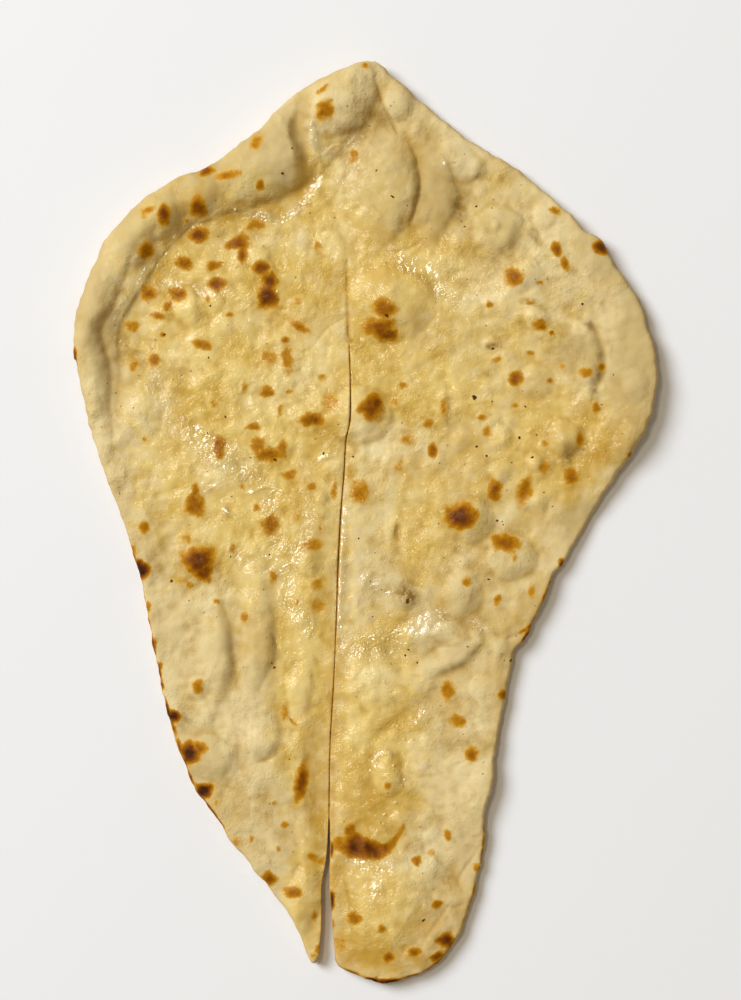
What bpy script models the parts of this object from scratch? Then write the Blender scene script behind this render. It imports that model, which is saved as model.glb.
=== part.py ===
"""A buttered naan: one leavened flatbread, cut lengthways from its lower end to above the middle.

All tables are in millimetres. +X is the right-hand shoulder, +Y the puffed tip, +Z up.
The top is a height over the plan: a sheet of dough, a puffed rim, blisters and folds.
The underside lies flat in the middle and lifts off towards the edges.
"""
import bmesh
import bpy
import numpy as np
from mathutils import Vector, noise
from mathutils.geometry import delaunay_2d_cdt
from mathutils.kdtree import KDTree

MM = 0.001

SHEET = 4.6             # thickness of the plain dough
EDGE_SHARE = 0.35       # height of the rim's seam, as a share of the thickness there
RIM_ROUND = 4.5         # how far in from the rim the top rounds over
CUT_ROUND = 1.3         # the same along the cut, which is crisper
UNDER_ROUND = 2.6       # how far in the underside rounds up to the rim's seam
RIPPLE = 0.35           # height of the slow unevenness of the top
RIPPLE_SPAN = 13.0

RIM_STEP = 3.4          # spacing of the mesh's points
TOP_STEP = 3.4
UNDER_STEP = 8.0
TOP_RINGS = (0.8, 2.4)
UNDER_RINGS = (1.0, 3.0)
EDGE_CLEAR = 0.55       # lattice points keep this share of the spacing from the last ring
RING_CLEAR = 0.93       # a ring's point stays where it is at least this share of the ring's depth in
FINE_STEP = 0.4         # spacing of the points that distances from the edge are measured to

# The rim from the left lobe's tip up the left side, over the tip and down to the right lobe.
RIM = [
    (-14.7, -136.0), (-16.3, -137.0), (-18.1, -134.4), (-23.4, -122.3), (-40.1, -101.2),
    (-49.1, -88.0), (-52.5, -84.2), (-56.0, -75.8), (-62.2, -56.9), (-71.1, -13.5),
    (-84.8, 26.8), (-89.4, 48.0), (-90.7, 52.2), (-89.1, 67.7), (-82.0, 85.1),
    (-77.3, 92.2), (-70.8, 98.7), (-62.5, 104.6), (-55.6, 108.0), (-52.0, 109.0),
    (-44.8, 113.3), (-32.4, 122.3), (-28.0, 127.6), (-17.5, 135.6), (-4.5, 141.5),
    (1.4, 142.8), (5.7, 140.6), (27.4, 121.8), (47.9, 108.8), (55.6, 101.8),
    (62.5, 96.3), (67.1, 91.3), (73.0, 87.0), (76.1, 81.4), (85.1, 67.4),
    (90.0, 49.8), (89.6, 39.5), (87.3, 30.5), (83.2, 22.8), (73.0, 7.3),
    (62.2, -11.3), (57.5, -17.8), (52.0, -31.5), (49.1, -36.7), (46.0, -40.2),
    (44.8, -47.3), (40.8, -67.4), (39.2, -79.8), (37.0, -90.7), (36.3, -103.1),
    (31.2, -122.6), (27.1, -131.0), (22.2, -136.9), (15.0, -140.9), (7.3, -142.8),
    (1.7, -142.1), (-7.3, -138.7), (-9.5, -136.2),
]

# The cut, from where it starts above the middle to the lower end: x, y, gap.
CUT = [
    (-5.9, 63.4, 0.0), (-5.1, 55.0, 0.5), (-4.8, 42.6, 0.6), (-4.9, 31.8, 0.6),
    (-6.2, 25.0, 0.6), (-6.8, 14.7, 0.6), (-7.8, 2.3, 0.6), (-8.7, -14.7, 0.7),
    (-9.3, -33.3, 0.7), (-10.1, -51.9, 0.6), (-11.1, -69.0, 0.6), (-11.4, -86.0, 0.6),
    (-11.6, -101.5, 0.9), (-12.5, -112.4, 2.2), (-12.2, -123.2, 3.1), (-12.1, -132.5, 4.6),
]

# Where the edge lifts off what it lies on: x, y, reach, height at the middle of the lift.
LIFTS = [
    (94, 36, 46, 4.6), (74, 96, 40, 2.2), (0, 148, 32, 3.0), (-96, 58, 26, 2.4),
    (62, -24, 26, 2.6), (42, -84, 22, 2.6), (10, -150, 26, 2.4), (-20, -142, 22, 1.2),
    (-70, -34, 15, 1.2),
]

# Blisters and puffs: x, y, half width, half length, turn in degrees, height, crispness.
# Crispness 1 meets the sheet in a crease, 2 fades into it.
PUFFS = [
    (-9, 129.5, 13, 9.5, 24, 3.4, 1.0),         # the tip's lump
    (-30, 112, 18, 12.5, 35, 4.0, 1.0),         # the large lump beside it
    (-51.5, 101.5, 8, 7, 20, 2.2, 1.3),         # three lumps down the rim
    (-64, 95, 9, 7.5, 30, 2.6, 1.3),
    (-72, 86, 6.5, 10, -25, 2.2, 1.3),
    (5.7, 106.5, 10.5, 14.5, 0, 4.2, 1.0),      # the tall bubble under the tip
    (22, 101.5, 7, 15, 6, 2.8, 1.0),            # the one that leans on it
    (29.6, 111, 8, 6, -20, 2.0, 1.4),
    (12, 129.5, 5, 5, 0, 1.5, 1.3),
    (41.4, 92, 7.5, 7.5, 0, 2.0, 1.2),          # the nippled blister
    (39.8, 91.3, 2.6, 2.6, 0, 0.9, 1.6),
    (6.7, 67.4, 15, 12, 0, 3.0, 1.2),
    (-2.6, 33.3, 11, 9, 0, 3.0, 1.0),           # the blister that the cut goes through
    (32.7, 0.5, 7, 7, 0, 2.0, 1.1),
    (45.4, -11, 8, 7.5, 0, 1.8, 1.2),
    (29.6, -24, 6, 8, 0, 1.5, 1.5),
    (5.7, -76.7, 4, 6.5, 0, 1.8, 1.2),
    (61.5, 25.6, 5.5, 6, 0, 1.5, 1.2),
    (52.2, 43.6, 6, 5.5, 0, 1.3, 1.3),
    (66.2, 53.5, 9.5, 7, -20, 1.8, 1.2),
    (81, 26.5, 4.5, 6, -20, 1.3, 1.3),
    (19.7, -34.9, 11, 7, 0, 1.4, 1.5),
    (2.6, -48.8, 11, 9.5, 0, 1.4, 1.6),
    (9, -121, 22, 21, 0, 3.2, 1.4),             # the right lobe's end
    (-32.4, -66, 8.5, 8.5, 0, 2.0, 1.3),        # puffs of the left lobe
    (-48, -74.2, 7.5, 7, 0, 1.9, 1.2),
    (-21.2, -52, 4.5, 9.5, 0, 1.3, 1.4),
    (-17.5, -98.4, 5, 10, 0, 1.1, 1.5),
    (-20.6, -118.6, 6.5, 15, -20, 1.8, 1.4),
    (-70, 35, 7.5, 9, 0, 1.3, 1.3),
    (-58, 66, 5.5, 5.5, 0, 1.0, 1.5),
]

# Folds and valleys, each a run of x, y, half width, height; a negative height is a valley.
FOLDS = {
    "puffed rim": [
        (-5, 132, 12, 3.0), (-25, 115, 16, 3.4), (-44, 103, 12, 3.0), (-62, 95, 11, 3.0),
        (-73, 82, 9.5, 3.0), (-79.5, 66, 8, 2.6), (-81, 50, 6.5, 2.0), (-80, 34, 5, 0.6),
    ],
    "outer ridge": [
        (-79, 87.5, 5, 2.4), (-84, 73.5, 5, 3.0), (-87, 59.5, 4.5, 3.0), (-86.5, 44, 4.5, 2.6),
        (-84, 30, 4.5, 1.8), (-81.5, 21, 4, 0.8),
    ],
    "rim valley": [
        (-71, 84.5, 3.4, -1.0), (-74, 76.5, 3.4, -2.0), (-77.5, 69, 3.4, -2.2),
        (-80.5, 62, 3.2, -2.0), (-81.5, 55, 3.2, -1.8), (-81, 44, 3.2, -1.6),
        (-80, 35, 3.2, -1.2), (-80, 28.5, 3.0, -0.5),
    ],
    "lump valley": [(-17, 130, 4, -1.2), (-20, 121, 4.5, -2.4), (-19, 113, 4, -1.4)],
    "right edge": [
        (60, 98, 8, 0.6), (78.5, 73.5, 8, 1.2), (86, 53.5, 8, 1.4), (85, 35, 8, 1.4),
        (78.5, 22.5, 8, 1.2), (69, 8.5, 7, 0.6),
    ],
    "crescent": [(19.7, -45.1, 3, 0.6), (27.4, -41.1, 3.2, 1.4), (33.6, -36.4, 3, 0.8)],
    "long puff a": [(-50, -22, 5, 0.6), (-47, -39.5, 5.2, 1.7), (-46, -53, 4.6, 1.0)],
    "long puff b": [(-38, -28, 6, 0.6), (-34.6, -42.6, 6.4, 2.0), (-34.6, -54, 5.5, 1.2)],
}


def smooth_run(rows, step):
    """Points about step apart on a smooth curve through the rows, whose first two values are x, y."""
    rows = np.array(rows, float)
    ends = np.vstack([2 * rows[0] - rows[1], rows, 2 * rows[-1] - rows[-2]])
    points = []
    for a, b, c, d in zip(ends, ends[1:], ends[2:], ends[3:]):
        count = max(1, round(float(np.linalg.norm((c - b)[:2])) / step))
        for t in np.arange(count) / count:
            bend = (2 * a - 5 * b + 4 * c - d) * t * t + (3 * b - a - 3 * c + d) * t ** 3
            points.append(0.5 * (2 * b + (c - a) * t + bend))
    return np.array(points + [rows[-1]])


def cut_side(side, step):
    """One wall of the cut, from its start down; side is -1 for the left wall, 1 for the right."""
    rows = np.array(CUT, float)
    rows[:, 0] += side * rows[:, 2] / 2
    return smooth_run(rows[:, :2], step)


def outline():
    """The bread's closed plan, clockwise: the rim, up the cut's right wall and down its left."""
    return np.vstack([smooth_run(RIM, RIM_STEP), cut_side(1, RIM_STEP)[::-1], cut_side(-1, RIM_STEP)[1:]])


def nearest(points, targets):
    """The distance from each point to the nearest target."""
    tree = KDTree(len(targets))
    for i, (x, y) in enumerate(targets):
        tree.insert((x, y, 0), i)
    tree.balance()
    return np.array([tree.find((x, y, 0))[2] for x, y in points])


def edge_distances(points):
    """How far each point is from the rim and from the cut."""
    walls = np.vstack([cut_side(-1, FINE_STEP), cut_side(1, FINE_STEP)])
    return nearest(points, smooth_run(RIM, FINE_STEP)), nearest(points, walls)


def puff_height(points, row):
    x, y, half_width, half_length, turn, height, crisp = row
    c, s = np.cos(np.radians(turn)), np.sin(np.radians(turn))
    dx, dy = points[:, 0] - x, points[:, 1] - y
    reach = ((dx * c + dy * s) / half_width) ** 2 + ((dy * c - dx * s) / half_length) ** 2
    return height * np.maximum(0, 1 - reach) ** crisp


def fold_height(points, rows):
    run = smooth_run(rows, 1.0)
    gaps = np.linalg.norm(points[:, None] - run[None, :, :2], axis=2)
    at = gaps.argmin(axis=1)
    across = gaps[np.arange(len(points)), at] / run[at, 2]
    return run[at, 3] * np.maximum(0, 1 - across ** 2) ** 1.5


def lift_height(points):
    """How far the underside is off the surface: nothing in the middle, most at the shoulders."""
    height = np.zeros(len(points))
    for x, y, reach, top in LIFTS:
        away = np.hypot(points[:, 0] - x, points[:, 1] - y) / reach
        height = np.maximum(height, top * np.maximum(0, 1 - away) ** 1.6)
    return height


def ripple(points):
    return np.array([noise.noise((x / RIPPLE_SPAN, y / RIPPLE_SPAN, 3.7)) for x, y in points])


def thickness(points):
    height = SHEET + RIPPLE * ripple(points)
    for row in PUFFS:
        height += puff_height(points, row)
    for rows in FOLDS.values():
        height += fold_height(points, rows)
    return height


def rounding(distance, reach):
    """A quarter ellipse: 0 at the edge, 1 from reach inwards."""
    return np.sqrt(1 - (1 - np.minimum(distance / reach, 1)) ** 2)


def top_height(points):
    to_rim, to_cut = edge_distances(points)
    share = np.minimum(rounding(to_rim, RIM_ROUND), rounding(to_cut, CUT_ROUND))
    return lift_height(points) + thickness(points) * (EDGE_SHARE + (1 - EDGE_SHARE) * share)


def under_height(points):
    to_rim, to_cut = edge_distances(points)
    share = np.minimum(rounding(to_rim, UNDER_ROUND), rounding(to_cut, CUT_ROUND))
    return lift_height(points) + thickness(points) * EDGE_SHARE * (1 - share)


def inward(loop):
    """Unit vectors into the bread at each point of its clockwise outline."""
    along = np.roll(loop, -1, axis=0) - np.roll(loop, 1, axis=0)
    turned = np.column_stack([along[:, 1], -along[:, 0]])
    return turned / np.linalg.norm(turned, axis=1, keepdims=True)


def inside(points, loop):
    """Whether each point is inside the loop, by the crossings of a ray along +X."""
    x, y = points[:, 0], points[:, 1]
    hit = np.zeros(len(points), bool)
    for (ax, ay), (bx, by) in zip(loop, np.roll(loop, -1, axis=0)):
        if ay == by:
            continue
        crosses = (ay > y) != (by > y)
        hit ^= crosses & (x < ax + (y - ay) * (bx - ax) / (by - ay))
    return hit


def clear_of_edge(points, loop, distance):
    """The points that are inside the loop and at least this far from its edge."""
    kept = points[inside(points, loop)]
    return kept[np.minimum(*edge_distances(kept)) > distance]


def plan_points(loop, rings, step):
    """Points of one face inside the loop: rings along the edge, then a lattice of triangles."""
    low, high = loop.min(axis=0), loop.max(axis=0)
    rows = np.arange(low[1], high[1], step * np.sqrt(3) / 2)
    columns = np.arange(low[0], high[0], step)
    lattice = np.array([(x + step / 2 * (i % 2), y) for i, y in enumerate(rows) for x in columns])
    found = []
    for depth in rings:
        found.append(clear_of_edge(loop + inward(loop) * depth, loop, RING_CLEAR * depth))
    found.append(clear_of_edge(lattice, loop, rings[-1] + EDGE_CLEAR * step))
    return np.vstack(found)


def triangles(loop, points):
    """Triangles over the loop and the points inside it, anticlockwise seen from above."""
    flat = [Vector(p) for p in np.vstack([loop, points])]
    made = delaunay_2d_cdt(flat, [], [list(range(len(loop)))], 1, 1e-6)
    names = [ids[0] for ids in made[3]]
    faces = []
    for face in made[2]:
        a, b, c = (flat[names[i]] for i in face)
        turn = (b - a).cross(c - a)
        faces.append([names[i] for i in (face if turn > 0 else reversed(face))])
    return faces


def bread_mesh():
    loop = outline()
    top = plan_points(loop, TOP_RINGS, TOP_STEP)
    under = plan_points(loop, UNDER_RINGS, UNDER_STEP)
    plan = np.vstack([loop, top, under])
    heights = np.concatenate([top_height(loop), top_height(top), under_height(under)])
    centre = (loop.min(axis=0) + loop.max(axis=0)) / 2
    placed = np.column_stack([plan - centre, heights])

    shape = bmesh.new()
    corners = [shape.verts.new(point * MM) for point in placed]
    for face in triangles(loop, top):
        shape.faces.new([corners[i] for i in face])
    shift = len(top)
    for face in triangles(loop, under):
        shape.faces.new([corners[i if i < len(loop) else i + shift] for i in reversed(face)])
    mesh = bpy.data.meshes.new("naan")
    shape.to_mesh(mesh)
    shape.free()
    mesh.shade_smooth()
    return mesh


def crust_material():
    """Baked wheat crust: pale gold, and half matt where the butter has soaked in."""
    material = bpy.data.materials.new("baked crust")
    material.use_nodes = True
    shader = material.node_tree.nodes["Principled BSDF"]
    shader.inputs["Base Color"].default_value = (0.70, 0.51, 0.21, 1)
    shader.inputs["Roughness"].default_value = 0.55
    shader.inputs["Metallic"].default_value = 0.0
    return material


def clear_scene():
    for obj in list(bpy.data.objects):
        bpy.data.objects.remove(obj)


def main():
    clear_scene()
    bread = bpy.data.objects.new("naan", bread_mesh())
    bread.data.materials.append(crust_material())
    bpy.context.scene.collection.objects.link(bread)


main()
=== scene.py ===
"""The looks of a buttered naan: blistered crust, browned spots, melted butter, and the cut's open crumb.

All tables are in millimetres on the bread's plan: +X the right shoulder, +Y the puffed tip, +Z up.
"""
import functools
import math
import random

import bmesh
import bpy
import numpy as np
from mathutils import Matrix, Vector, noise
from mathutils.geometry import delaunay_2d_cdt
from mathutils.kdtree import KDTree


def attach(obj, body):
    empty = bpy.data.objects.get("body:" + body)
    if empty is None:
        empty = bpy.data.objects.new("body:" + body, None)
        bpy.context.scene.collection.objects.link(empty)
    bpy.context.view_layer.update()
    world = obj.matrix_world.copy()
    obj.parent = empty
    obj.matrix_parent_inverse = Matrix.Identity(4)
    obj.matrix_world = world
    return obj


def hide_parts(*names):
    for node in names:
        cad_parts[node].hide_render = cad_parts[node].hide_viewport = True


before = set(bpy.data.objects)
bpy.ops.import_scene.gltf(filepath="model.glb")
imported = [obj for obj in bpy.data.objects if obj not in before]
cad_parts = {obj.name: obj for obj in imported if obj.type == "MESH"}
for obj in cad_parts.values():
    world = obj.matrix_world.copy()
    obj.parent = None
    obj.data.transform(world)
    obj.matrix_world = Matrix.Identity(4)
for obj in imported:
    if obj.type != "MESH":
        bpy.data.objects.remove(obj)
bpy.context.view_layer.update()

MM = 0.001

SHEET = 4.6             # thickness of the plain dough
RIM_ROUND = 1.1         # how far in from the rim the top rounds over
CUT_ROUND = 0.4         # the same along the cut, which is crisper
UNDER_ROUND = 2.6       # how far in the underside rounds up to the rim's seam
RIM_SEAMS = (0.24, 0.60)    # lower and upper edge of the side wall, as shares of the thickness
CUT_SEAMS = (0.06, 0.92)    # the same along the cut, whose walls are nearly upright
SEAM_BLEND = 1.5        # how far from the cut its seams become the rim's
NEARLY_SHUT = 0.5       # where the cut's gap is narrower, its walls lean together below the lips

TOP_STEP = 0.78         # spacing of the top's mesh
UNDER_STEP = 2.0        # the same for the underside
RIM_STEP = 0.9          # and along the edge
TOP_RINGS = (0.12, 0.35, 0.7, 1.2)      # how far in the rows of points along the edge lie
UNDER_RINGS = (0.3, 0.9, 1.8)
RING_CLEAR = 0.93       # a ring's point stays where it is at least this share of the ring's depth in
EDGE_CLEAR = 0.6        # lattice points keep this share of the spacing from the last ring
CREASE_OFFSETS = (-0.8, -0.4, 0.0, 0.4, 0.8)    # rows of points that a crease or a thread gets
CREASE_CLEAR = 1.1      # only a mesh finer than this has them, and half of it stays free round them
FINE_STEP = 0.3         # spacing of the points that distances from the edge are measured to
RUN_STEP = 0.5          # the same along a fold, a crease or a thread

WALL_ROWS = 6           # rows of faces between the top's edge and the underside's
WALL_BULGE = 0.15       # how far the wall stands out beyond the edge
WALL_SPREAD = 0.6       # how fast spots and char that run over the edge fade down the wall
WALL_SWAY = 3.5         # how far they stray along the wall on their way down
SWAY_SPAN = 2.2         # along the wall, over which that straying changes
SWAY_DROP = 1.4         # and down it
CRUMB_SPAN = 1.3        # size of the torn crumb's lumps in the cut's walls
CRUMB_SHIFT = 1.9       # how far the crumb's noise moves from one row of the wall to the next

BLISTER_COUNT = 260     # low blisters scattered between the listed ones
COBBLE = 5.0            # size of the low swellings between the blisters
COBBLE_HEIGHT = 0.24
REACH_X = 90            # what is scattered by a draw lies this far to either side of the middle
REACH_Y = 142
SPOT_SWELL = 0.45       # how far the darkest spots stand up: thin dough puffs before it burns
SPOT_FOOT = 1.6         # how much wider than the spot that swelling is
GLOW_WIDTH = 2.2        # how much wider than a thread of butter the skin round it shines
# The crust's colour darkens in hollows as painted shade, fully at these depths.
WRINKLE_DEPTH = 0.17    # depth of a small hollow that has its full tint
NEAR_DEPTH = 0.5        # and of a hollow some millimetres wide
WIDE_DEPTH = 1.1        # and of a wide one
LUMP_SHARE = 0.8        # flecks and beads start this much smaller, because stretching makes them larger

# Unevenness of the rim's line and of the skin: span, seed, octaves, height.
RIM_WAVES = [(6.0, 17.0, 2, 0.55), (2.5, 19.0, 2, 0.25)]
SKIN_WAVES = [(26.0, 9.4, 1, 0.70), (16.0, 3.7, 2, 0.60), (6.0, 8.1, 2, 0.40), (2.6, 1.3, 2, 0.16)]

# The rim from the left lobe's tip up the left side, over the tip and down to the right lobe.
RIM = [
    (-14.7, -136.0), (-16.3, -137.0), (-18.1, -134.4), (-23.4, -122.3), (-40.1, -101.2),
    (-49.1, -88.0), (-52.5, -84.2), (-56.0, -75.8), (-62.2, -56.9), (-71.1, -13.5),
    (-84.8, 26.8), (-89.4, 48.0), (-90.7, 52.2), (-89.1, 67.7), (-82.0, 85.1),
    (-77.3, 92.2), (-70.8, 98.7), (-62.5, 104.6), (-55.6, 108.0), (-52.0, 109.0),
    (-44.8, 113.3), (-32.4, 122.3), (-28.0, 127.6), (-17.5, 135.6), (-4.5, 141.5),
    (1.4, 142.8), (5.7, 140.6), (27.4, 121.8), (47.9, 108.8), (55.6, 101.8),
    (62.5, 96.3), (67.1, 91.3), (73.0, 87.0), (76.1, 81.4), (85.1, 67.4),
    (90.0, 49.8), (89.6, 39.5), (87.3, 30.5), (83.2, 22.8), (73.0, 7.3),
    (62.2, -11.3), (57.5, -17.8), (52.0, -31.5), (49.1, -36.7), (46.0, -40.2),
    (44.8, -47.3), (40.8, -67.4), (39.2, -79.8), (37.0, -90.7), (36.3, -103.1),
    (31.2, -122.6), (27.1, -131.0), (22.2, -136.9), (15.0, -140.9), (7.3, -142.8),
    (1.7, -142.1), (-7.3, -138.7), (-9.5, -136.2),
]

# The cut, from where it starts above the middle to the lower end: x, y, gap.
CUT = [
    (-5.2, 56.0, 0.0), (-5.0, 50.0, 0.25), (-4.8, 42.6, 0.25), (-4.9, 31.8, 0.3),
    (-6.2, 25.0, 0.35), (-6.8, 14.7, 0.35), (-7.8, 2.3, 0.4), (-8.7, -14.7, 0.4),
    (-9.3, -33.3, 0.25), (-10.1, -51.9, 0.2), (-11.1, -69.0, 0.2), (-11.4, -86.0, 0.25),
    (-11.6, -101.5, 0.9), (-12.5, -112.4, 2.2), (-12.2, -123.2, 3.1), (-12.1, -132.5, 4.6),
]

# Where the edge lifts off what it lies on: x, y, reach, height at the middle of the lift.
LIFTS = [
    (94, 36, 46, 4.6), (74, 96, 40, 2.2), (0, 148, 32, 3.0), (-96, 58, 26, 2.4),
    (62, -24, 26, 2.6), (42, -84, 22, 2.6), (10, -150, 26, 2.4), (-20, -142, 22, 1.2),
    (-70, -34, 15, 1.2),
]

# Blisters and puffs: x, y, half width, half length, turn in degrees, height, crispness.
# Crispness 1 meets the sheet in a crease, 2 fades into it.
PUFFS = [
    (-9, 129.5, 13, 9.5, 24, 3.4, 1.0),         # the tip's lump
    (-30, 112, 18, 12.5, 35, 4.0, 1.0),         # the large lump beside it
    (-51.5, 101.5, 8, 7, 20, 2.2, 1.3),         # three lumps down the rim
    (-64, 95, 9, 7.5, 30, 2.6, 1.3),
    (-72, 86, 6.5, 10, -25, 2.2, 1.3),
    (6.0, 104, 13, 19, 0, 2.8, 1.5),            # the tall bubble under the tip
    (5.7, 112.4, 6, 6, 0, 0.6, 1.5),
    (20, 102, 9, 15, 8, 1.2, 1.4),              # the one that leans on it
    (18.1, 96.3, 2.6, 3.6, 0, 0.7, 1.1),
    (28, 111.8, 8.5, 6.5, -20, 2.3, 1.1),
    (10, 130.5, 5.4, 6.2, 0, 1.7, 1.0),
    (16, 121.7, 2.4, 2.4, 0, 0.6, 1.1),
    (40.6, 90.6, 8.4, 7.6, 30, 2.1, 1.25),      # the nippled blister
    (43.4, 87.6, 4.2, 2.6, 40, 0.5, 1.2),
    (37.2, 88.2, 3.4, 2.2, -30, 0.4, 1.2),
    (39.8, 91.9, 1.9, 1.9, 0, 1.0, 1.0),
    (6.7, 67.4, 15, 12, 0, 3.0, 1.2),
    (-2.6, 33.3, 11, 9, 0, 3.0, 1.0),           # the blister that the cut goes through
    (33.2, 0.5, 7, 7, 0, 2.3, 1.1),
    (45.4, -11, 8, 7.5, 0, 2.2, 1.1),
    (29.8, -22, 6.5, 8.5, 0, 1.9, 1.3),
    (6.4, -78.3, 4.8, 7.4, 0, 2.0, 0.9),
    (61.5, 25.6, 5.5, 6, 0, 2.2, 1.0),
    (52.2, 43.6, 6, 5.5, 0, 1.6, 1.2),
    (64.5, 53.5, 9.5, 7, -20, 0.9, 1.4),
    (81, 26.5, 4.5, 6, -20, 1.3, 1.3),
    (46, 71, 12, 11, 0, 1.3, 1.7),
    (19.7, -34.9, 11, 7, 0, 1.4, 1.5),
    (2.6, -48.8, 11, 9.5, 0, 1.4, 1.6),
    (9, -121, 22, 21, 0, 3.2, 1.4),             # the right lobe's end
    (-32.8, -66.5, 8, 7.5, 0, 1.1, 1.4),        # puffs of the left lobe
    (-31.4, -68, 5.6, 5.0, 0, 0.8, 0.9),
    (-49, -73, 7.8, 7.2, 0, 2.1, 0.9),
    (-33, -79.5, 10, 7, 0, 1.0, 1.3),
    (-21.2, -52, 4.5, 9.5, 0, 1.3, 1.4),
    (-17.5, -98.4, 5, 10, 0, 1.1, 1.5),
    (-20.6, -118.6, 6.5, 15, -20, 1.8, 1.4),
    (-70, 35, 7.5, 9, 0, 1.3, 1.3),
    (-55, 66.5, 5.2, 5.2, 0, 1.6, 1.1),
    (-34, 82.3, 3.6, 3.6, 0, 1.0, 1.2),         # lower blisters, left
    (-17.5, -12.3, 4.5, 4.5, 0, 1.2, 1.1),
    (-52, -50.7, 4, 4, 0, 0.9, 1.3),
    (-51.6, -12, 5.8, 5.5, -30, 1.2, 1.1),
    (52.9, 63.1, 4.2, 4, -20, 1.3, 1.1),        # lower blisters, right
    (49.7, 77.3, 4.6, 4.6, 0, 1.2, 1.2),
    (68.4, 46.3, 4, 4, 0, 1.1, 1.1),
    (83, 42.6, 4.5, 6, 0, 1.1, 1.2),
    (41.7, 26.5, 4, 4, 0, 1.2, 1.1),
    (52.5, 18.8, 3, 3, 0, 1.3, 1.0),
    (29.6, 25.6, 4.2, 4, 0, 0.9, 1.2),
    (41.7, 15.6, 4, 4, 0, 1.2, 1.1),
    (52.5, 6.4, 4, 4, 0, 0.9, 1.2),
    (12.6, -24, 3.2, 3.2, 0, 1.0, 1.1),
    (25.9, -34.3, 5.5, 4.5, 0, 1.6, 1.0),
    (41.4, -38.6, 3.6, 3.6, 0, 0.9, 1.2),
    (9.5, -3.3, 1.4, 3.4, 0, -0.9, 1.2),
]

# Folds and valleys: crispness, then a run of x, y, half width, height. A negative height is a valley.
FOLDS = {
    "puffed rim": (0.75, [
        (-6, 133, 11, 2.0), (-25, 117, 13.5, 2.8), (-37, 107.5, 10.5, 2.8), (-47, 103, 8.5, 2.8),
        (-59, 98, 8.2, 2.8), (-69.5, 88.5, 8.6, 2.8), (-77, 75.5, 8, 2.6), (-83, 61.5, 7, 2.2),
        (-83.5, 52, 7, 1.6), (-83, 38, 6, 0.8),
    ]),
    "outer ridge": (0.8, [
        (-73, 92, 5.5, 0.6), (-79, 83.5, 6.4, 1.8), (-82, 74, 6.2, 2.6), (-85.8, 63, 4.6, 2.8),
        (-86.4, 57, 4.4, 2.8), (-85.2, 50, 5.0, 2.6), (-84, 41, 4.6, 2.2), (-83, 31, 3.6, 1.6),
        (-81.5, 21, 3.4, 0.8),
    ]),
    "left lobe's slope to the cut": (1.15, [
        (-7, 14, 5, -0.3), (-9.5, 0, 6.5, -0.7), (-10, -30, 7.5, -0.9), (-12, -60, 7, -1.0),
        (-14, -90, 6, -1.2), (-15, -112, 4, -0.8),
    ]),
    "lump valley": (1.0, [(-18, 130, 3, -1.0), (-20.5, 121, 3.4, -2.2), (-19, 113, 3, -1.4)]),
    "right edge": (1.15, [
        (60, 98, 8, 0.5), (76.5, 73.5, 9, 0.8), (82, 53.5, 9, 0.8), (81, 35, 9, 0.8),
        (76, 22.5, 8, 0.8), (67, 8.5, 7, 0.5),
    ]),
    "crescent": (1.1, [(18.5, -45.5, 3.4, 0.5), (26.4, -41.3, 4.2, 1.1), (32.6, -36.4, 3.6, 0.7)]),
    "between the lumps": (1.0, [
        (-23, 127, 3.4, -0.4), (-20, 119, 3.6, -1.0), (-18, 108, 4, -0.9), (-20, 100, 4, -0.4),
    ]),
    "across the right lobe": (1.0, [
        (25, -50, 5, -0.2), (15, -56, 5, -0.6), (8, -60, 5, -0.6), (1.7, -69, 4, -0.3),
    ]),
    "across the lobe's end": (1.2, [
        (27, -112, 5, -0.3), (21, -121, 6, -0.8), (14, -129, 5, -0.7), (8, -134, 4, -0.3),
    ]),
    "above the crescent": (1.3, [(17, -39, 3.4, -0.3), (24.5, -36.5, 3.8, -0.6), (30, -32, 3.4, -0.3)]),
}

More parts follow.
